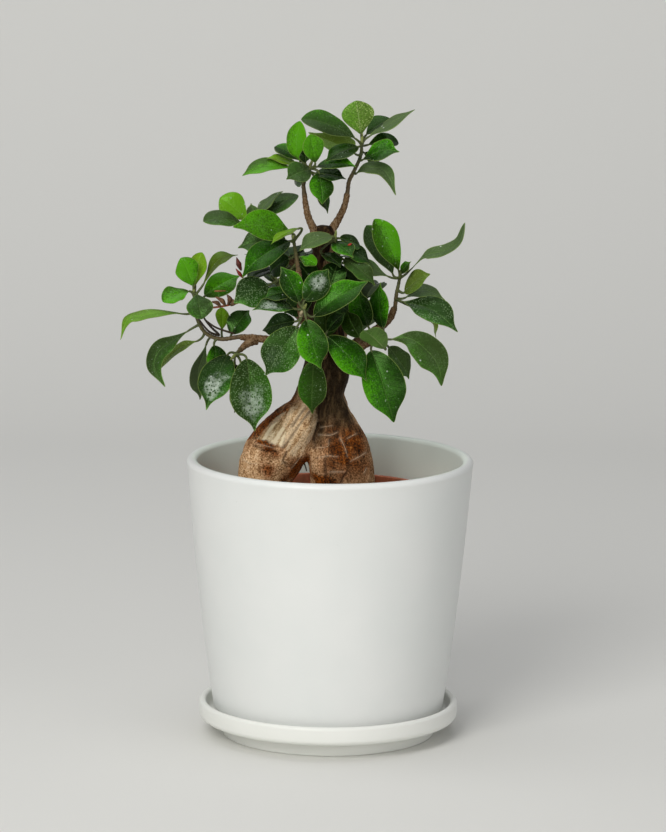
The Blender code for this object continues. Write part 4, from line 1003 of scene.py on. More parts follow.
# Leafy shoots seen from the front: the wood they start from, sighted points of the green stem
# past it, and the leaves. Each leaf: sighted midrib points from blade base to tip, blade width,
# depth of base and of tip, face angle, arch and look, with the word blunt for a rounded tip. At
# face angle 0 the upper side looks at the viewer, at 90 up (right, if the leaf hangs or stands),
# at 180 away. The arch is the bow as a share of the length.
shoots = {
    "shoot_front": ("H", [(-15.2, 224, -37.5), (-14.2, 226, -41)], [
        ([(-13, 220), (-6, 194)], 16, -44, -47, 4, 0.06, "mid"),
        ([(-9, 222), (19, 240)], 15, -43, -36, 30, 0.10, "mid"),
        ([(-14, 230), (-2, 247)], 14, -41, -38, -18, 0.06, "wet"),
        ([(-17, 229), (-26, 248)], 13, -41, -36, 28, 0.06, "mid"),
        ([(-18, 216), (-34, 190)], 20, -40, -40, 6, 0.08, "dusty"),
        ([(-20, 226), (-41, 225)], 13, -39, -46, 56, 0.08, "wet"),
        ([(-21, 235), (-35, 231)], 12, -35, -40, 50, 0.06, "dark"),
        ([(-19, 219), (-36, 214)], 14, -35, -31, 44, 0.06, "deepShade"),
    ]),
    "shoot_low_front": ("N", [(-6, 205.1, -26.4), (-5, 206.5, -30), (-4, 208, -34)], [
        ([(-9, 199), (-10, 170)], 15, -34, -33, -8, 0.04, "dark"),
        ([(-2, 211), (19, 188)], 17, -36, -42, 26, 0.10, "mid"),
        ([(-2, 214), (7, 224)], 9, -30, -26, 35, 0.05, "deepShade"),
    ]),
    "shoot_right_low": ("G", [(23.3, 209.2, -24.5), (25, 210, -28), (26, 211, -32)], [
        ([(21, 204), (33, 166)], 22, -30, -40, 8, 0.08, "mid"),
        ([(31, 210), (42, 210), (51, 203), (56, 196), (59, 187)], 18, -27, -36, 30, 0.0, "dull"),
        ([(30, 206), (41, 189)], 14, -22, -20, 42, 0.06, "dull"),
        ([(28, 205), (16, 215)], 13, -33, -46, 146, 0.08, "pale"),
        ([(27, 216), (25, 240)], 14, -22, -18, -44, 0.06, "mid"),
        ([(19, 217), (14, 236)], 15, -22, -22, -36, 0.06, "mid"),
        ([(15, 211), (8, 225)], 12, -27, -28, -30, 0.06, "deepShade"),
    ]),
    "shoot_inner": ("Q", [(-4.5, 232.4, -14.6), (-5, 234, -17.5), (-5.5, 236, -20)], [
        ([(-1, 237), (4, 252)], 13, -18, -13, 12, 0.05, "deepShade"),
        ([(-9, 238), (-18, 251)], 13, -17, -12, 20, 0.05, "deepShade"),
        ([(-1, 231), (12, 222)], 14, -19, -15, 26, 0.06, "deepShade"),
        ([(-4, 229), (-3, 209)], 14, -19, -19, 12, 0.05, "deepShade"),
        ([(-10, 231), (-25, 224)], 14, -19, -16, 30, 0.06, "dark"),
        ([(-10, 235), (-28, 240)], 13, -18, -14, 34, 0.06, "deepShade"),
        ([(0, 234), (14, 238)], 12, -18, -13, 38, 0.06, "deepShade"),
    ]),
    "shoot_left": ("I", [(-48.6, 210.5, -12.1), (-58, 209.4, -12.3), (-66, 213, -12.5),
                         (-70.5, 222, -12), (-71.6, 234, -12)], [
        ([(-72, 237), (-78, 252)], 13, -13, -17, 14, 0.06, "fresh blunt"),
        ([(-71, 237), (-68, 255)], 12, -9, -6, -38, 0.04, "yellow blunt"),
        ([(-74, 234.5), (-88, 229)], 13, -13, -20, 46, 0.08, "bright blunt"),
        ([(-70, 233), (-68, 220)], 14, -16, -26, 6, 0.08, "dull blunt"),
        ([(-67, 238), (-59, 251), (-49, 254)], 10, -10, -7, 56, 0.0, "shaded"),
        ([(-66, 232), (-48, 243)], 15, -8, 2, 34, 0.08, "bright"),
        ([(-76, 222.5), (-88, 223), (-99, 221), (-106, 219), (-110, 209)], 11, -14, -24, 62, 0.0,
         "strap"),
        ([(-74, 214), (-83, 208), (-90, 202), (-92, 194), (-87, 184)], 12, -14, -26, 38, 0.0,
         "dull"),
        ([(-69.5, 208.5), (-80, 203.5), (-91, 192)], 9, -9, -4, 62, 0.0, "olive"),
        ([(-65, 206.5), (-69.5, 191), (-67, 177)], 12, -7, 0, 40, 0.0, "mauve"),
        ([(-61, 206), (-60, 190)], 13, -14, -16, 34, 0.05, "mid"),
        ([(-57, 214), (-57, 226)], 8, -6, -2, 26, 0.05, "yellow blunt"),
        ([(-52, 212), (-43, 225)], 13, -10, -3, 28, 0.06, "dark"),
    ]),
    "shoot_left_low": ("O", [(-48.3, 202.8, -20), (-50, 201, -23)], [
        ([(-44, 199), (-40, 160.5)], 22, -28, -38, 6, 0.08, "powderedGlare"),
        ([(-54, 201), (-65, 172)], 18, -21, -24, 30, 0.08, "wet"),
        ([(-50, 196), (-50, 170)], 14, -17, -15, 52, 0.05, "dark"),
        ([(-47, 197), (-47, 183)], 9, -22, -24, 46, 0.05, "mid"),
    ]),
    "shoot_upper_front": ("H", [(-17.6, 247.6, -25.6), (-19, 256, -19), (-20, 262, -15)], [
        ([(-22, 261), (-47, 243)], 17, -18, -27, 40, 0.10, "mid"),
        ([(-20, 265), (-34, 269), (-51, 270)], 17, -14, -20, 26, 0.0, "bright"),
        ([(-26, 261), (-49, 258)], 16, -12, -14, 32, 0.08, "dull"),
        ([(-17, 253), (-8, 249)], 8, -21, -26, 36, 0.06, "bright blunt"),
        ([(-33, 238), (-51, 229)], 17, -21, -28, 12, 0.06, "dusty"),
        ([(-22, 252), (-33, 244)], 13, -18, -14, 40, 0.06, "dark"),
        ([(-17.5, 268), (-32, 260)], 10, -24, -32, 72, 0.05, "yellow"),
    ]),
    "shoot_centre": ("E", [(1.1, 260.5, -13.4), (1.5, 263, -15)], [
        ([(0, 264), (-17, 257)], 12, -17, -24, 48, 0.08, "grey"),
        ([(1, 261), (11, 253)], 12, -17, -25, 42, 0.06, "mid"),
        ([(-5, 255), (5, 248)], 10, -18, -27, 56, 0.06, "deepShade"),
        ([(4, 263), (16, 258)], 11, -13, -8, 58, 0.06, "dark"),
        ([(6, 259), (20, 250)], 12, -12, -12, 48, 0.06, "dark"),
        ([(6, 252), (23, 239)], 12, -16, -22, 44, 0.06, "dull"),
    ]),
    "shoot_right": ("F", [(33.2, 227.7, 2), (33.8, 234, 2), (34.8, 239, 2), (35.5, 243, 2)], [
        ([(35, 246), (22, 273)], 16, 0, -7, 32, 0.06, "bright blunt"),
        ([(32, 244), (18, 270)], 16, 5, 9, 30, 0.06, "dull blunt"),
        ([(39, 245), (47, 253), (51, 255), (59, 257), (66, 262), (68, 272)], 10, 2, -6, 62, 0.0,
         "grey blunt"),
        ([(36, 245), (41, 251)], 6, 0, -4, 40, 0.05, "mid"),
        ([(38, 235), (51, 245)], 14, 1, -6, 50, 0.08, "olive"),
        ([(38, 232), (48, 236), (59, 232)], 13, 4, 2, 60, 0.0, "grey"),
        ([(37, 230), (52, 226), (66, 215)], 17, -2, -20, 38, 0.0, "dusty"),
        ([(38, 229), (52, 221), (55, 211)], 8, 6, 9, 64, 0.0, "brown"),
        ([(30, 243), (18, 248), (5, 251)], 12, -3, -16, 52, 0.0, "grey"),
    ]),
    "shoot_upper_left": ("C", [(-39.6, 262.5, -6), (-41.5, 266, -6)], [
        ([(-44, 272), (-58, 284)], 15, -5, -4, 16, 0.06, "lime blunt"),
        ([(-46, 270), (-67, 272)], 14, -8, -15, 54, 0.08, "dull blunt"),
        ([(-40, 273), (-26, 288)], 12, -3, 3, 68, 0.05, "grey"),
        ([(-38, 271), (-18, 286)], 14, 0, 6, 50, 0.06, "dull blunt"),
        ([(-42, 272), (-42, 281)], 7, -2, -2, 26, 0.05, "grey"),
        ([(-36, 264), (-22, 258)], 13, -4, 4, 50, 0.06, "dark"),
    ]),
    "shoot_top_right": ("A", [(7.9, 288, 3), (8.6, 293, 3), (11, 298, 3), (14.4, 306, 3),
                              (15, 313, 3)], [
        ([(14.6, 317), (12, 335)], 17, 3, 4, 180, -0.06, "freckled blunt"),
        ([(12, 315), (-16, 326)], 15, 0, -5, 42, 0.08, "dull blunt"),
        ([(18, 316), (30, 323), (42, 331)], 12, 5, 8, 66, 0.0, "grey"),
        ([(17, 317), (30, 326)], 13, 8, 15, 44, 0.06, "dark blunt"),
        ([(18, 312), (34, 314)], 12, 8, 13, 48, 0.06, "dark blunt"),
        ([(15, 304), (25, 309), (34, 309)], 14, 0, -8, 44, 0.0, "mid"),
        ([(12, 297), (18, 300), (27, 298), (33, 286)], 11, 2, -6, 50, 0.0, "grey"),
        ([(13, 311), (-4, 303)], 12, -2, -14, 46, 0.08, "dark"),
        ([(12, 307), (5, 311), (-13, 318)], 13, 5, 9, 32, 0.0, "olive"),
        ([(16, 308), (24, 300)], 12, 8, 20, 40, 0.06, "dark blunt"),
    ]),
    "shoot_top_left": ("B", [(-14.8, 288, -6), (-15, 291, -6), (-13.6, 296, -6), (-12, 300, -6)], [
        ([(-17, 302), (-19, 311), (-17, 324)], 12, -5, -7, -32, 0.0, "fresh blunt"),
        ([(-9, 302), (-12, 317)], 12, -9, -14, 18, 0.05, "bright blunt"),
        ([(-16, 303), (-30, 311)], 12, -3, 1, 52, 0.06, "mid blunt"),
        ([(-18, 301), (-34, 305)], 9, -7, -11, 62, 0.05, "yellow"),
        ([(-20, 300), (-35, 300.5), (-47, 296)], 13, -7, -14, 58, 0.0, "bright"),
        ([(-12, 299), (-24, 294)], 13, -9, -19, 24, 0.06, "dull"),
        ([(-7, 297), (-5, 281)], 13, -8, -16, 16, 0.06, "mid"),
        ([(-10, 296), (-2, 276)], 11, -4, 3, 54, 0.05, "dark"),
        ([(-14, 302), (-15, 309)], 7, -10, -13, 26, 0.05, "dark blunt"),
        ([(-8, 300.5), (12, 301)], 11, -8, -13, 56, 0.08, "mid"),
        ([(-9, 297), (7, 294)], 11, -6, -9, 54, 0.06, "deepShade"),
        ([(-13, 299), (-20, 291)], 10, 0, 10, 40, 0.06, "dark"),
    ]),
}
# tone from dark to bright (the leaf's own colour, partly painted light and shade), yellow, and a
# painted grey sheen; then pale dots, painted glare and pale edge
looks = {
    "fresh": (0.98, 0.10, 0.0, 0.2, 0.0, 0.6), "bright": (0.80, 0.08, 0.0, 0.2, 0.0, 0.6),
    "lime": (1.00, 0.42, 0.03, 0.2, 0.0, 0.6),
    "mid": (0.54, 0.0, 0.0, 0.25, 0.0, 0.6), "dark": (0.32, 0.0, 0.03, 0.2, 0.0, 0.4),
    # the near-black look is painted shade for leaves inside the crown
    "deepShade": (0.08, 0.0, 0.0, 0.1, 0.0, 0.2), "dull": (0.38, 0.04, 0.24, 0.3, 0.0, 0.5),
    "yellow": (0.92, 0.65, 0.0, 0.25, 0.0, 0.6), "olive": (0.38, 0.5, 0.2, 0.3, 0.0, 0.5),
    "grey": (0.50, 0.15, 0.70, 0.4, 0.0, 0.8), "dusty": (0.38, 0.0, 0.08, 1.0, 0.05, 0.6),
    "wet": (0.38, 0.0, 0.03, 0.5, 0.95, 0.6), "brown": (0.15, 0.9, 0.1, 0.2, 0.0, 0.2),
    "pale": (0.86, 0.35, 0.4, 0.2, 0.0, 0.4), "freckled": (0.72, 0.42, 0.0, 1.0, 0.0, 0.9),
    "mauve": (0.22, 0.0, 0.8, 0.3, 0.0, 0.3), "strap": (0.90, 0.50, 0.15, 0.2, 0.0, 0.9),
    "shaded": (0.20, 0.35, 0.08, 0.2, 0.0, 0.3),
    "powderedGlare": (0.36, 0.0, 0.12, 0.8, 0.65, 0.6),
}
backLooks = ("dark", "mid", "dull", "deepShade", "deepShade", "dark")

# shoots on the far side: the wood they start from, how far the stem goes on (x, z, depth), the
# leaf count and the seed; the leaves follow a spiral of 137.5 degrees
backShoots = {
    "shoot_back_left": ("J", (-6, 9, 9), 11, 11),
    "shoot_back_right": ("K", (5, 9, 9), 11, 12),
    "shoot_back": ("L", (0, 8, 11), 11, 13),
    "shoot_back_top": ("M", (-6, 5, 3), 8, 14),
    "shoot_back_low": ("P", (-1, 6, 10), 10, 15),
}
growth = {
    "spiral": 137.5, "backLength": (26, 36), "backWidthShare": 0.52, "backStalk": 5,
    "backLift": (-30, 50), "backArch": 0.08, "pointStart": 0.62, "pointDraw": 0.42,
    "stemRadii": (1.3, 0.9), "twigSides": 5, "rootSides": 14, "thickness": 0.7, "tipHalf": 0.35,
    "stalkHalf": 0.5, "stalkStart": 2.5, "clear": 0.35, "readings": 33, "stemReadings": 25,
    "stations": (0.0, 0.2, 0.44, 0.68, 0.87, 1.0),
    "bentStations": (0.0, 0.13, 0.29, 0.45, 0.61, 0.77, 0.9, 1.0),
    # what a leaf may turn or shift by until it touches nothing
    "turns": (0, 14, -14, 28, -28),
    "baseShifts": (0, -3, 3, -6, 6),
    "tipShifts": (0, -4, 4, -8, 8, -12, 12, -16, 16),
    "backRises": (0, 20, -20, 40, -40),
    "backSwings": (0, 15, -15, 30, -30, 45, -45, 60, -60),
    "backShares": (1.0, 0.85, 0.7),
}
# sighted outline of the crown that the far leaves stay behind
crown = [(-32, 207), (-33, 222), (-46, 227), (-45, 256), (-36, 262), (-20, 262), (-12, 259),
         (-4, 262), (4, 260), (14, 254), (21, 245), (29, 239), (31, 226), (27, 215), (29, 205),
         (22, 200), (8, 201), (-6, 204), (-20, 204)]


# leaf places: the same rule as the solids follow, on the same coarse strips
class Leaf:
    def __init__(self, stemPoint, midrib, width, normal, arch, blunt=False):
        self.stemPoint = np.asarray(stemPoint, float)
        self.midrib = np.asarray(midrib, float)
        self.width, self.normal, self.arch, self.blunt = width, normal, arch, blunt


def coarseFaces(count, rows):
    # triangles between rings, and a many-sided cap at each end
    quads = gridFaces(rows, count)
    last = (rows - 1) * count
    return (quads[:, [0, 1, 2]].tolist() + quads[:, [0, 2, 3]].tolist()
            + [list(range(count))[::-1], list(range(last, last + count))])


def treeOf(ringSets):
    # search tree over several ring sets
    points, faces, start = [], [], 0
    for rings in ringSets:
        rows, count = rings.shape[:2]
        points.extend(rings.reshape(-1, 3).tolist())
        faces.extend([[start + i for i in face] for face in coarseFaces(count, rows)])
        start += rows * count
    return BVHTree.FromPolygons(points, faces)


def coarseHalf(u, width, blunt):
    # blunt blades are obovate on a wedge-shaped base; the others are oval and draw in to a point
    if blunt:
        return width / 2 * np.sin(pi * u ** 1.45).clip(0) ** 0.7
    oval = np.sin(pi * u).clip(0) ** 0.6
    return width / 2 * oval * (1 - growth["pointDraw"] * ease(growth["pointStart"], 1, u))


def coarseLeaf(leaf, extra=0.0):
    # square sections along the bowed midrib, after one on the stem
    u = np.array(growth["bentStations"] if len(leaf.midrib) > 2 else growth["stations"])
    fine = smoothPath(leaf.midrib, growth["readings"])
    bow = leaf.arch * runOf(fine)[-1] * 4 * u * (1 - u)
    centre = readAt(u, np.linspace(0, 1, len(fine)), fine) + bow[:, None] * leaf.normal
    centre = np.vstack([leaf.stemPoint, centre])
    runs = unit(np.diff(centre, axis=0))
    along = unit(np.vstack([runs[:1], runs[1:] + runs[:-1], runs[-1:]]))
    up = unit(leaf.normal - along * (along @ leaf.normal)[:, None])
    half = coarseHalf(np.concatenate([[0.0], u]), leaf.width, leaf.blunt)
    half[:2] = growth["stalkHalf"]
    half[-1] = growth["tipHalf"]
    thick = np.full(len(half), growth["thickness"] / 2)
    thick[:2] = growth["stalkHalf"]
    out = (half + extra)[:, None] * np.cross(along, up)
    skin = (thick + extra)[:, None] * up
    return np.stack([centre - out - skin, centre - out + skin,
                     centre + out + skin, centre + out - skin], axis=1)


def faceNormal(base, tip, face):
    # upper side's direction: the line to the eye, turned about the midrib by the face angle
    along, look = unit(tip - base), unit(eye - base)
    towards = unit(look - along * (look @ along))
    side = np.cross(along, towards)
    if side @ np.array([0.3, 0.0, 1.0]) < 0:
        side = -side
    return towards * cos(radians(face)) + side * sin(radians(face))


def nearestOn(path, point):
    # the point of the stem, clear of its foot and its end, that the stalk starts from
    fine = smoothPath(path, growth["stemReadings"])
    free = fine[np.linalg.norm(fine - fine[0], axis=1) > growth["stalkStart"]][:-1]
    return free[np.argmin(np.linalg.norm(free - point, axis=1))]


def sightedLeaf(stem, row, turn, baseShift, tipShift):
    outline, width, baseDepth, tipDepth, face, arch, look = row
    flat = np.array(outline, float)
    run = runOf(flat)
    depth = baseDepth + baseShift
    reach = tipDepth + tipShift - depth
    midrib = [sighted(x, z, depth + reach * s) for (x, z), s in zip(flat, run / run[-1])]
    normal = faceNormal(midrib[0], midrib[-1], face + turn)
    return Leaf(nearestOn(stem, midrib[0]), midrib, width, normal, arch, "blunt" in look)


def spiralLeaf(stem, index, count, length, azimuth, rise):
    # the higher on the stem, the more upright the leaf stands
    height = index / (count - 1)
    place = smoothPath(stem, growth["stemReadings"])[int(8 + 15 * height)]
    low, high = growth["backLift"]
    lift = radians(low + (high - low) * height + rise)
    turn = radians(azimuth)
    out = np.array([cos(turn) * cos(lift), sin(turn) * cos(lift), sin(lift)])
    base = place + out * growth["backStalk"]
    normal = unit(np.array([0.0, 0.0, 1.0]) - out * out[2])
    width = length * growth["backWidthShare"]
    return Leaf(place, [base, base + out * length], width, normal, growth["backArch"])


def settle(candidates, others, own):
    # the first place that touches neither the other shoots nor the shoot's own blades, or the
    # first clear of the other shoots, or None
    spare = None
    for leaf in candidates:
        probe = treeOf([coarseLeaf(leaf, growth["clear"])])
        if any(probe.overlap(other) for other in others):
            continue
        if not any(probe.overlap(mate) for mate in own):
            return leaf
        spare = spare or leaf
    return spare


def frontPlaces(stem, row):
    # as the row says, then with ever larger turns and shifts
    for shifts in product(growth["turns"], growth["baseShifts"], growth["tipShifts"]):
        yield sightedLeaf(stem, row, *shifts)


def backPlaces(stem, index, count, length, azimuth):
    # as the spiral says, then raised, swung and shortened; only places hidden by the crown
    changes = product(growth["backRises"], growth["backSwings"], growth["backShares"])
    for rise, swing, share in changes:
        leaf = spiralLeaf(stem, index, count, length * share, azimuth + swing, rise)
        if insideOutline(seen(coarseLeaf(leaf).reshape(-1, 3)), crown).all():
            yield leaf


def backStem(name):
    # straight stem from a gap past the end of the wood to the end of its reach
    branch, reach = backShoots[name][:2]
    end = branches[branch][0][-1]
    start, far = sighted(*end), sighted(*np.add(end, reach))
    return [start + unit(far - start) * gap, (start + far) / 2, far]


def leafChoices(name, stem):
    # for each leaf of a shoot, the places that it may take, best first
    if name in shoots:
        return [frontPlaces(stem, row) for row in shoots[name][2]]
    count, seed = backShoots[name][2:]
    draw = np.random.default_rng(seed)
    first = draw.uniform(0, 360)
    lengths = draw.uniform(*growth["backLength"], count)
    return [backPlaces(stem, index, count, lengths[index], first + growth["spiral"] * index)
            for index in range(count)]


def stemRings(stem):
    # round sections that taper evenly along the coarse stem
    path = smoothPath(stem, len(stem) + 1)
    return tubeRings(path, np.linspace(*growth["stemRadii"], len(path)), growth["twigSides"])


def growShoots():
    # settles every leaf, shoot by shoot; gives each shoot's stem and its leaves with their rows
    wood = [limbRings(rows, growth["rootSides"]) for rows in limbs.values()]
    for points, thick, thin in branches.values():
        path = sightedPath(points, len(points) + 2)
        wood.append(tubeRings(path, np.linspace(thick, thin, len(path)), growth["twigSides"]))
    wood = treeOf(wood)
    stems = {name: [sighted(*point) for point in shoots[name][1]] for name in shoots}
    stems.update({name: backStem(name) for name in backShoots})
    blocked = {name: treeOf([stemRings(stem)]) for name, stem in stems.items()}
    grown = {}
    for name, stem in stems.items():
        others = [wood] + [tree for other, tree in blocked.items() if other != name]
        found = []
        for row, choices in enumerate(leafChoices(name, stem)):
            own = [treeOf([coarseLeaf(leaf)]) for _, leaf in found]
            leaf = settle(choices, others, own)
            if leaf:
                found.append((row, leaf))
        grown[name] = (stem, found)
        blocked[name] = treeOf([stemRings(stem)] + [coarseLeaf(leaf) for _, leaf in found])
    return grown


# fine leaves
blade = {"rows": 46, "columns": 19, "thickness": 0.46, "edgeThickness": 0.26, "fold": (0.10, 0.26),
         "edgeDrop": 0.035, "wave": (0.15, 0.6), "point": (0.25, 0.60), "veinEvery": 2.5,
         "veinSlant": 0.62, "veinRelief": 0.025, "midribDepth": 0.22, "keel": 0.5,
         "tipDroop": (0.02, 0.10), "tipSwing": 0.07, "waveTurns": (1.2, 2.4), "lopside": 0.05,
         "pointFrom": (0.74, 0.95), "wedge": 0.25, "wedgeEnd": 0.38, "readings": 129,
         "leastHalf": 0.16, "seed": 77}
stalk = {"sides": 10, "steps": 14, "radii": (0.70, 0.58), "foot": 0.35, "footReach": 0.9,
         "end": 0.16}
twig = {"sides": 12, "steps": 60, "radii": (1.15, 0.8), "intoWood": 2.5, "ringEvery": 4.2,
        "ringSwell": 0.12, "budLength": 5.5, "budSteps": 12}
leafColours = {
    "greens": [(0.0, (0.0040, 0.013, 0.0012)), (0.30, (0.0070, 0.033, 0.0012)),
               (0.62, (0.017, 0.088, 0.0015)), (1.0, (0.068, 0.310, 0.0035))],
    "yellow": (0.22, 0.33, 0.016), "grey": (0.095, 0.140, 0.060), "edge": (0.24, 0.32, 0.075),
    "veins": (0.10, 0.15, 0.045), "paintedGlint": (0.46, 0.56, 0.42), "glarePatch": (0.52, 0.58, 0.51),
    "dropHighlight": (0.62, 0.66, 0.62), "back": (0.080, 0.140, 0.046), "backVeins": (0.25, 0.32, 0.13),
    "mottle": (0.012, 0.050, 0.004), "dots": (0.20, 0.30, 0.15), "yellowDots": (0.42, 0.50, 0.08),
    "gloss": (0.42, 1.0, 0.22),
}


def leafFinish():
    # glossy upper side with pale midrib and edge, faint side veins, specks and water drops; painted
    # light and shade over the blade, a painted grey sheen, glare, glints and drop highlights; matt
    # underside
    green = Finish("fig_leaf_glossy", IOR=1.45, Specular_IOR_Level=0.34,
                   Specular_Tint=leafColours["gloss"])
    along, across, under = green.attribute("leafPlace")
    tone, yellow, grey = green.attribute("leafLook")
    dots, glare, rim = green.attribute("leafMarks")
    length, half, seed = green.attribute("leafSize")
    at = green.place()
    out = abs(across)
    x = out * half
    wander = green.noise(at, 380.0, detail=2.0)
    step = ((along * length - x * blade["veinSlant"]) / blade["veinEvery"] + wander * 0.5).fraction()
    ridge = (1 - abs(step * 2 - 1)).ease(0.70, 1.0) * out.ease(0.96, 0.80)
    midrib = x.ease(0.42, 0.10) * along.ease(1.0, 0.85)
    edge = ((1 - out) * half).ease(0.42, 0.10)
    cloud = green.noise(at, 55.0, detail=1.0)
    mottle = green.noise(at, 420.0, detail=3.0)
    fine = green.noise(at, 1300.0, detail=3.0, roughness=0.6)
    # painted light and shade: one side of each blade lighter than the other, and the blade darker
    # near its base where it lies in the crown
    paintedLightTone = tone + across * (seed.ease(0.4, 0.6) - 0.5) * 0.50 - along.ease(0.34, 0.0) * 0.36
    light = paintedLightTone * 1.45 - 0.29 + (cloud - 0.5) * 0.55 + (mottle - 0.5) * 0.4 + (fine - 0.5)
    # the grey share is a sheen painted into the colour, standing in for the reflection of the bright
    # surroundings
    colour = green.layers(green.ramp(light.capped(), leafColours["greens"]),
                          (yellow * 0.85, leafColours["yellow"]), (grey, leafColours["grey"]))
    lighter = green.mix(1.0, colour, leafColours["veins"], "ADD")
    colour = green.layers(colour, ((ridge * 0.03 + midrib * 0.22).capped(), lighter),
                          (edge * rim, leafColours["edge"]))
    upper = 1 - under
    speck = green.cells(at, 1150.0).ease(0.46, 0.22) * green.noise(at, 150.0).ease(0.36, 0.56)
    # water drops as small pale dots; their pale colour is a painted highlight
    dropHighlight = green.cells(at, 130.0).ease(0.070, 0.045) * dots.ease(0.05, 0.3)
    spots = green.cells(at, 620.0).ease(0.34, 0.24) + green.cells(at, 310.0).ease(0.24, 0.19)
    spots = spots.capped()
    # painted reflection: a pale glare patch in the middle of wet and powdered blades, broken by dark
    # drop spots
    sheen = along.ease(0.20, 0.62) * along.ease(0.98, 0.70) * out.ease(0.95, 0.20)
    glareField = sheen * 0.42 + green.noise(at, 130.0, detail=2.0) * 0.6 + mottle * 0.35 + fine * 0.3
    glareField = glareField + across * (seed.ease(0.4, 0.6) - 0.5) * 0.16
    glarePatch = glareField.ease(0.72, 1.16) * (0.45 + mottle) * glare * (1 - spots * 0.9) * upper
    # painted highlights: small pale glints scattered on the upper side
    paintedGlint = green.noise(at, 620.0, detail=2.0, distortion=0.4).ease(0.70, 0.75) * upper
    colour = green.layers(colour, (paintedGlint * 0.35, leafColours["paintedGlint"]),
                          (glarePatch * 0.78, leafColours["glarePatch"]),
                          (dropHighlight * 0.7 * upper, leafColours["dropHighlight"]))
    back = green.layers(colour, (0.62 - yellow * 0.6, leafColours["back"]),
                        (ridge * 0.15 + midrib * 0.5, leafColours["backVeins"]))
    shown = (upper + yellow * 2).capped() * dots
    dust = green.mix(yellow, leafColours["dots"], leafColours["yellowDots"])
    colour = green.layers(colour, (under, back),
                          ((fine.ease(0.52, 0.40) * shown * 0.45).capped(), leafColours["mottle"]),
                          ((speck * shown * (0.6 + yellow)).capped(), dust))
    green.paint(Base_Color=colour,
                Roughness=0.14 + mottle * 0.14 + grey * 0.25 + glarePatch * 0.20 + under * 0.30)
    green.bump(mottle * 0.4 + fine * 0.2 - ridge * 0.15 - midrib * 0.5, 0.00018)
    return green


def stemFinish():
    # each part's own tint with lengthwise streaks
    skin = Finish("fig_stem", IOR=1.4)
    streak = skin.noise(skin.place(), 700.0, detail=4.0)
    shaded = skin.mix(streak.ease(0.42, 0.70) * 0.6, skin.tint(), (0.03, 0.02, 0.01))
    skin.paint(Base_Color=shaded, Roughness=0.42 + streak * 0.25)
    skin.bump(streak, 0.00025)
    return skin


def spine(leaf, u, bend=0.05, swing=0.0):
    # midrib points at the shares u of the length, with the directions along, up and sideways;
    # the last third bends down and swings sideways by shares of the length
    fine = smoothPath(leaf.midrib, blade["readings"])
    steps = np.linspace(0, 1, len(fine))
    length = runOf(fine)[-1]
    bow = leaf.arch * length * 4 * steps * (1 - steps)
    tip = length * ease(0.62, 1.25, steps) ** 1.5
    across = np.cross(unit(leaf.midrib[-1] - leaf.midrib[0]), leaf.normal)
    fine = fine + (bow - bend * tip)[:, None] * leaf.normal + (swing * tip)[:, None] * across
    along = unit(readAt(u, steps, np.gradient(fine, axis=0)))
    up = unit(leaf.normal - along * (along @ leaf.normal)[:, None])
    return readAt(u, steps, fine), along, up, np.cross(along, up), length


def leafSurface(leaf, draw):
    # A closed blade on a grid of u along and s across. Half width is the strip's outline drawn
    # in towards a point. Height over the midrib is a rounded V fold, less a drop at the edge,
    # plus an edge wave and a bulge between side veins. The underside has a keel.
    u = (1 - np.cos(pi * np.linspace(0, 1, blade["rows"]))) / 2
    s = np.linspace(-1, 1, blade["columns"])[None, :]
    bend, swing = draw.uniform(*blade["tipDroop"]), draw.uniform(-1, 1) * blade["tipSwing"]
    centre, _, up, side, length = spine(leaf, u, bend, swing)
    point, fold = draw.uniform(*blade["point"]), draw.uniform(*blade["fold"])
    wave, turns = draw.uniform(*blade["wave"]), draw.uniform(*blade["waveTurns"])
    phase, seed = draw.uniform(0, 2 * pi, 2), draw.uniform(0, 1)
    lopsided = draw.uniform(-blade["lopside"], blade["lopside"])
    half = coarseHalf(u, leaf.width, leaf.blunt)
    if not leaf.blunt:
        half = half * (1 - point * ease(*blade["pointFrom"], u))
    if len(leaf.midrib) > 2:
        half = half * (blade["wedge"] + (1 - blade["wedge"]) * ease(0.0, blade["wedgeEnd"], u))
    half = np.maximum(half, blade["leastHalf"])[:, None]
    x = s * half * (1 + lopsided * np.sign(s))
    rise = fold * (np.sqrt(x ** 2 + 0.8) - 0.894) - blade["edgeDrop"] * x ** 2 / half.max() * 2
    u = u[:, None]
    body = np.sin(pi * np.clip(u, 0, 1)) ** 0.7
    swell = 2 * pi * turns * u
    swell = np.where(s < 0, np.sin(swell + phase[0]), np.sin(swell * 0.9 + phase[1]))
    ripple = wave * np.abs(s) ** 2.2 * body * swell
    veins = np.cos(2 * pi * (u * length - np.abs(x) * blade["veinSlant"]) / blade["veinEvery"])
    quilt = -blade["veinRelief"] * veins * (1 - s ** 4) * body
    trough = np.exp(-(x / 0.55) ** 2)
    skin = blade["edgeThickness"] + (blade["thickness"] - blade["edgeThickness"]) * (1 - s ** 2)
    skin = skin * np.minimum(1, 0.35 + half / 3)
    level = rise + ripple + quilt
    upper = level + skin / 2 - blade["midribDepth"] * trough * body
    lower = level - skin / 2 - blade["keel"] * trough * (1 - u) ** 0.6 * body
    flat = centre[:, None] + side[:, None] * x[..., None]
    above = flat + up[:, None] * upper[..., None]
    below = flat + up[:, None] * lower[..., None]
    both = np.concatenate([s, s[:, ::-1]], axis=1)
    under = np.repeat([[0.0, 1.0]], blade["columns"], axis=1)
    place = np.stack(np.broadcast_arrays(u, both, under), axis=-1).reshape(-1, 3)
    place = np.vstack([place, (0, 0, 0), (1, 0, 0)])
    size = np.stack(np.broadcast_arrays(length, half, seed, both)[:3], axis=-1).reshape(-1, 3)
    size = np.vstack([size, size[0], size[-1]])
    return cappedRings(np.concatenate([above, below[:, ::-1]], axis=1)), place, size


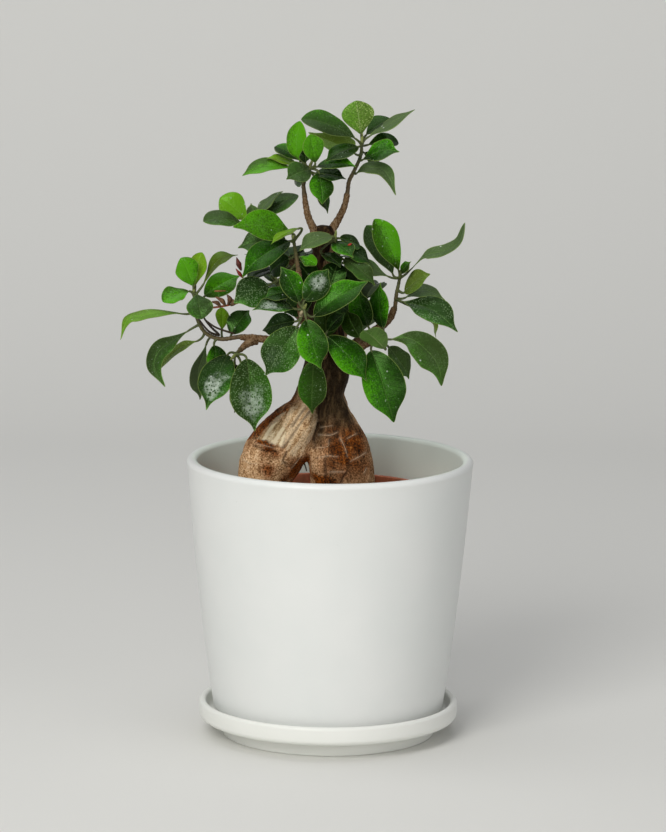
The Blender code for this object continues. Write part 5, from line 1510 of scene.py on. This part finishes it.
def stalkSurface(leaf):
    # curved stalk from inside the stem to a little way along the blade's underside
    centre, along, up, _, _ = spine(leaf, np.array([0.0, 0.10]))
    start, end = leaf.stemPoint, centre[0] - up[0] * 0.15
    reach = np.linalg.norm(end - start)
    t = np.linspace(0, 1, stalk["steps"])
    bend = end - along[0] * reach * 0.45
    path = np.outer((1 - t) ** 2, start) + np.outer(2 * t * (1 - t), bend) + np.outer(t ** 2, end)
    path = np.vstack([path, centre[1] - up[1] * 0.25])
    thick, thin = stalk["radii"]
    radii = thick + (thin - thick) * t + stalk["foot"] * np.exp(-t * reach / stalk["footReach"])
    return tube(path, np.append(radii, stalk["end"]), stalk["sides"])


def stemSurface(stem):
    # green stem from inside the wood, with a swollen ring at each leaf, ending in a pointed bud;
    # gives its surface and how far along each ring is
    path = smoothPath(stem, twig["steps"])
    path[0] += unit(path[0] - path[2]) * twig["intoWood"]
    bud = np.linspace(0.08, 1, twig["budSteps"])
    way = unit(path[-1] - path[-8]) * twig["budLength"]
    path = np.vstack([path, path[-1] + bud[:, None] * way])
    run = runOf(path)
    share = np.clip(run / run[twig["steps"] - 1], 0, 1)
    thick, thin = twig["radii"]
    radii = thick + (thin - thick) * share
    radii = radii * (1 + twig["ringSwell"] * np.cos(2 * pi * run / twig["ringEvery"]) ** 10)
    radii[twig["steps"]:] *= np.sqrt(1 - bud ** 1.5) * 1.05 + 0.06
    return tube(path, radii, twig["sides"]), share


stemTints = {"wood": (0.12, 0.078, 0.032), "green": (0.085, 0.100, 0.028),
             "bud": (0.22, 0.26, 0.07), "stalk": (0.085, 0.11, 0.030)}


def makeShoots(finishes):
    # each shoot's stem, then blade by blade with its stalk; draws follow the order of the leaves
    wood, green, bud = (np.array(stemTints[key]) for key in ("wood", "green", "bud"))
    for number, (name, (stem, leaves)) in enumerate(growShoots().items()):
        draw = np.random.default_rng(blade["seed"] + number)
        bundle = Bundle()
        surface, share = stemSurface(stem)
        tint = wood + (green - wood) * ease(0.1, 0.9, share)[:, None]
        tint[twig["steps"]:] = bud
        bundle.add(surface, 1, tint=np.vstack([np.repeat(tint, twig["sides"], axis=0), wood, bud]))
        for row, leaf in leaves:
            if name in shoots:
                word = shoots[name][2][row][-1].split()[0]
            else:
                word = backLooks[draw.integers(len(backLooks))]
            look = np.array(looks[word]) + draw.uniform(-0.04, 0.04, 6)
            surface, place, size = leafSurface(leaf, draw)
            bundle.add(surface, 0, leafPlace=place, leafSize=size, leafLook=look[:3],
                       leafMarks=look[3:])
            bundle.add(stalkSurface(leaf), 1, tint=stemTints["stalk"])
        piece = name.replace("shoot", "leaves")
        addPiece(piece, bundle.mesh(piece), finishes, "leaf", name, sharp=50)
        print(piece, len(leaves), "leaves")


# withered sheaths, buds and thin stalks of the left branch and the crown: sighted points
# (x, z, depth), radius at the start, middle and end, and tint
scraps = [
    ([(-64.5, 225.6, -13), (-57, 226.6, -14), (-48, 228.6, -12)], (0.5, 0.55, 0.5),
     (0.30, 0.060, 0.018)),
    ([(-61, 234.6, -15), (-55, 234.9, -14)], (0.45, 0.5, 0.3), (0.26, 0.115, 0.035)),
    ([(-57.5, 226, -14), (-59.5, 228.4, -15), (-62.4, 229, -16)], (0.5, 1.2, 0.4),
     (0.13, 0.060, 0.024)),
    ([(-55, 226.6, -14), (-57, 229.6, -16), (-60.5, 231.6, -17)], (0.5, 1.3, 0.3),
     (0.18, 0.085, 0.034)),
    ([(-54, 227, -13), (-53, 230.4, -16), (-54.6, 233, -16)], (0.5, 1.4, 0.2),
     (0.11, 0.050, 0.020)),
    ([(-52.5, 227, -13), (-51, 228.6, -16), (-52, 230.6, -14)], (0.5, 1.5, 0.3),
     (0.15, 0.080, 0.036)),
    ([(-47, 245.5, -10), (-48.4, 249, -11), (-49.6, 252.6, -11)], (0.5, 1.5, 0.15),
     (0.12, 0.018, 0.010)),
    ([(-46, 241.5, -10), (-48, 244, -12), (-50, 246.6, -12)], (0.4, 1.0, 0.15),
     (0.26, 0.022, 0.014)),
    ([(-58, 211, -12), (-64, 213.5, -15), (-70, 221, -15), (-73.4, 226, -15)], (0.7, 0.5, 0.5),
     (0.030, 0.020, 0.010)),
    ([(-58, 211.4, -11), (-63, 216, -10), (-66.6, 221, -10), (-68, 227, -10)], (0.7, 0.5, 0.5),
     (0.026, 0.017, 0.010)),
    ([(-50, 212, -11), (-60, 215.4, -12), (-66, 219.6, -13)], (0.6, 0.5, 0.4),
     (0.050, 0.033, 0.014)),
    ([(8, 259, -18), (10.4, 260.4, -18)], (0.3, 0.7, 0.2), (0.42, 0.030, 0.020)),
    ([(-16, 221.5, -38), (-15.2, 224.4, -42)], (0.9, 1.1, 0.8), (0.50, 0.42, 0.25)),
]


def makeScraps(finish):
    # tapered tubes with closed ends
    bundle = Bundle()
    for points, radii, tint in scraps:
        path = sightedPath(points, 24)
        along = np.linspace(0, 1, 24)
        thick = np.interp(along, (0, 0.5, 1), radii) * np.sqrt(1 - (2 * along - 1) ** 12 * 0.9)
        bundle.add(tube(path, thick, 10), tint=tint)
    addPiece("withered_scraps", bundle.mesh("withered_scraps"), [finish], "leaf", sharp=60)


stemSkin = stemFinish()
makeShoots([leafFinish(), stemSkin])
makeScraps(stemSkin)
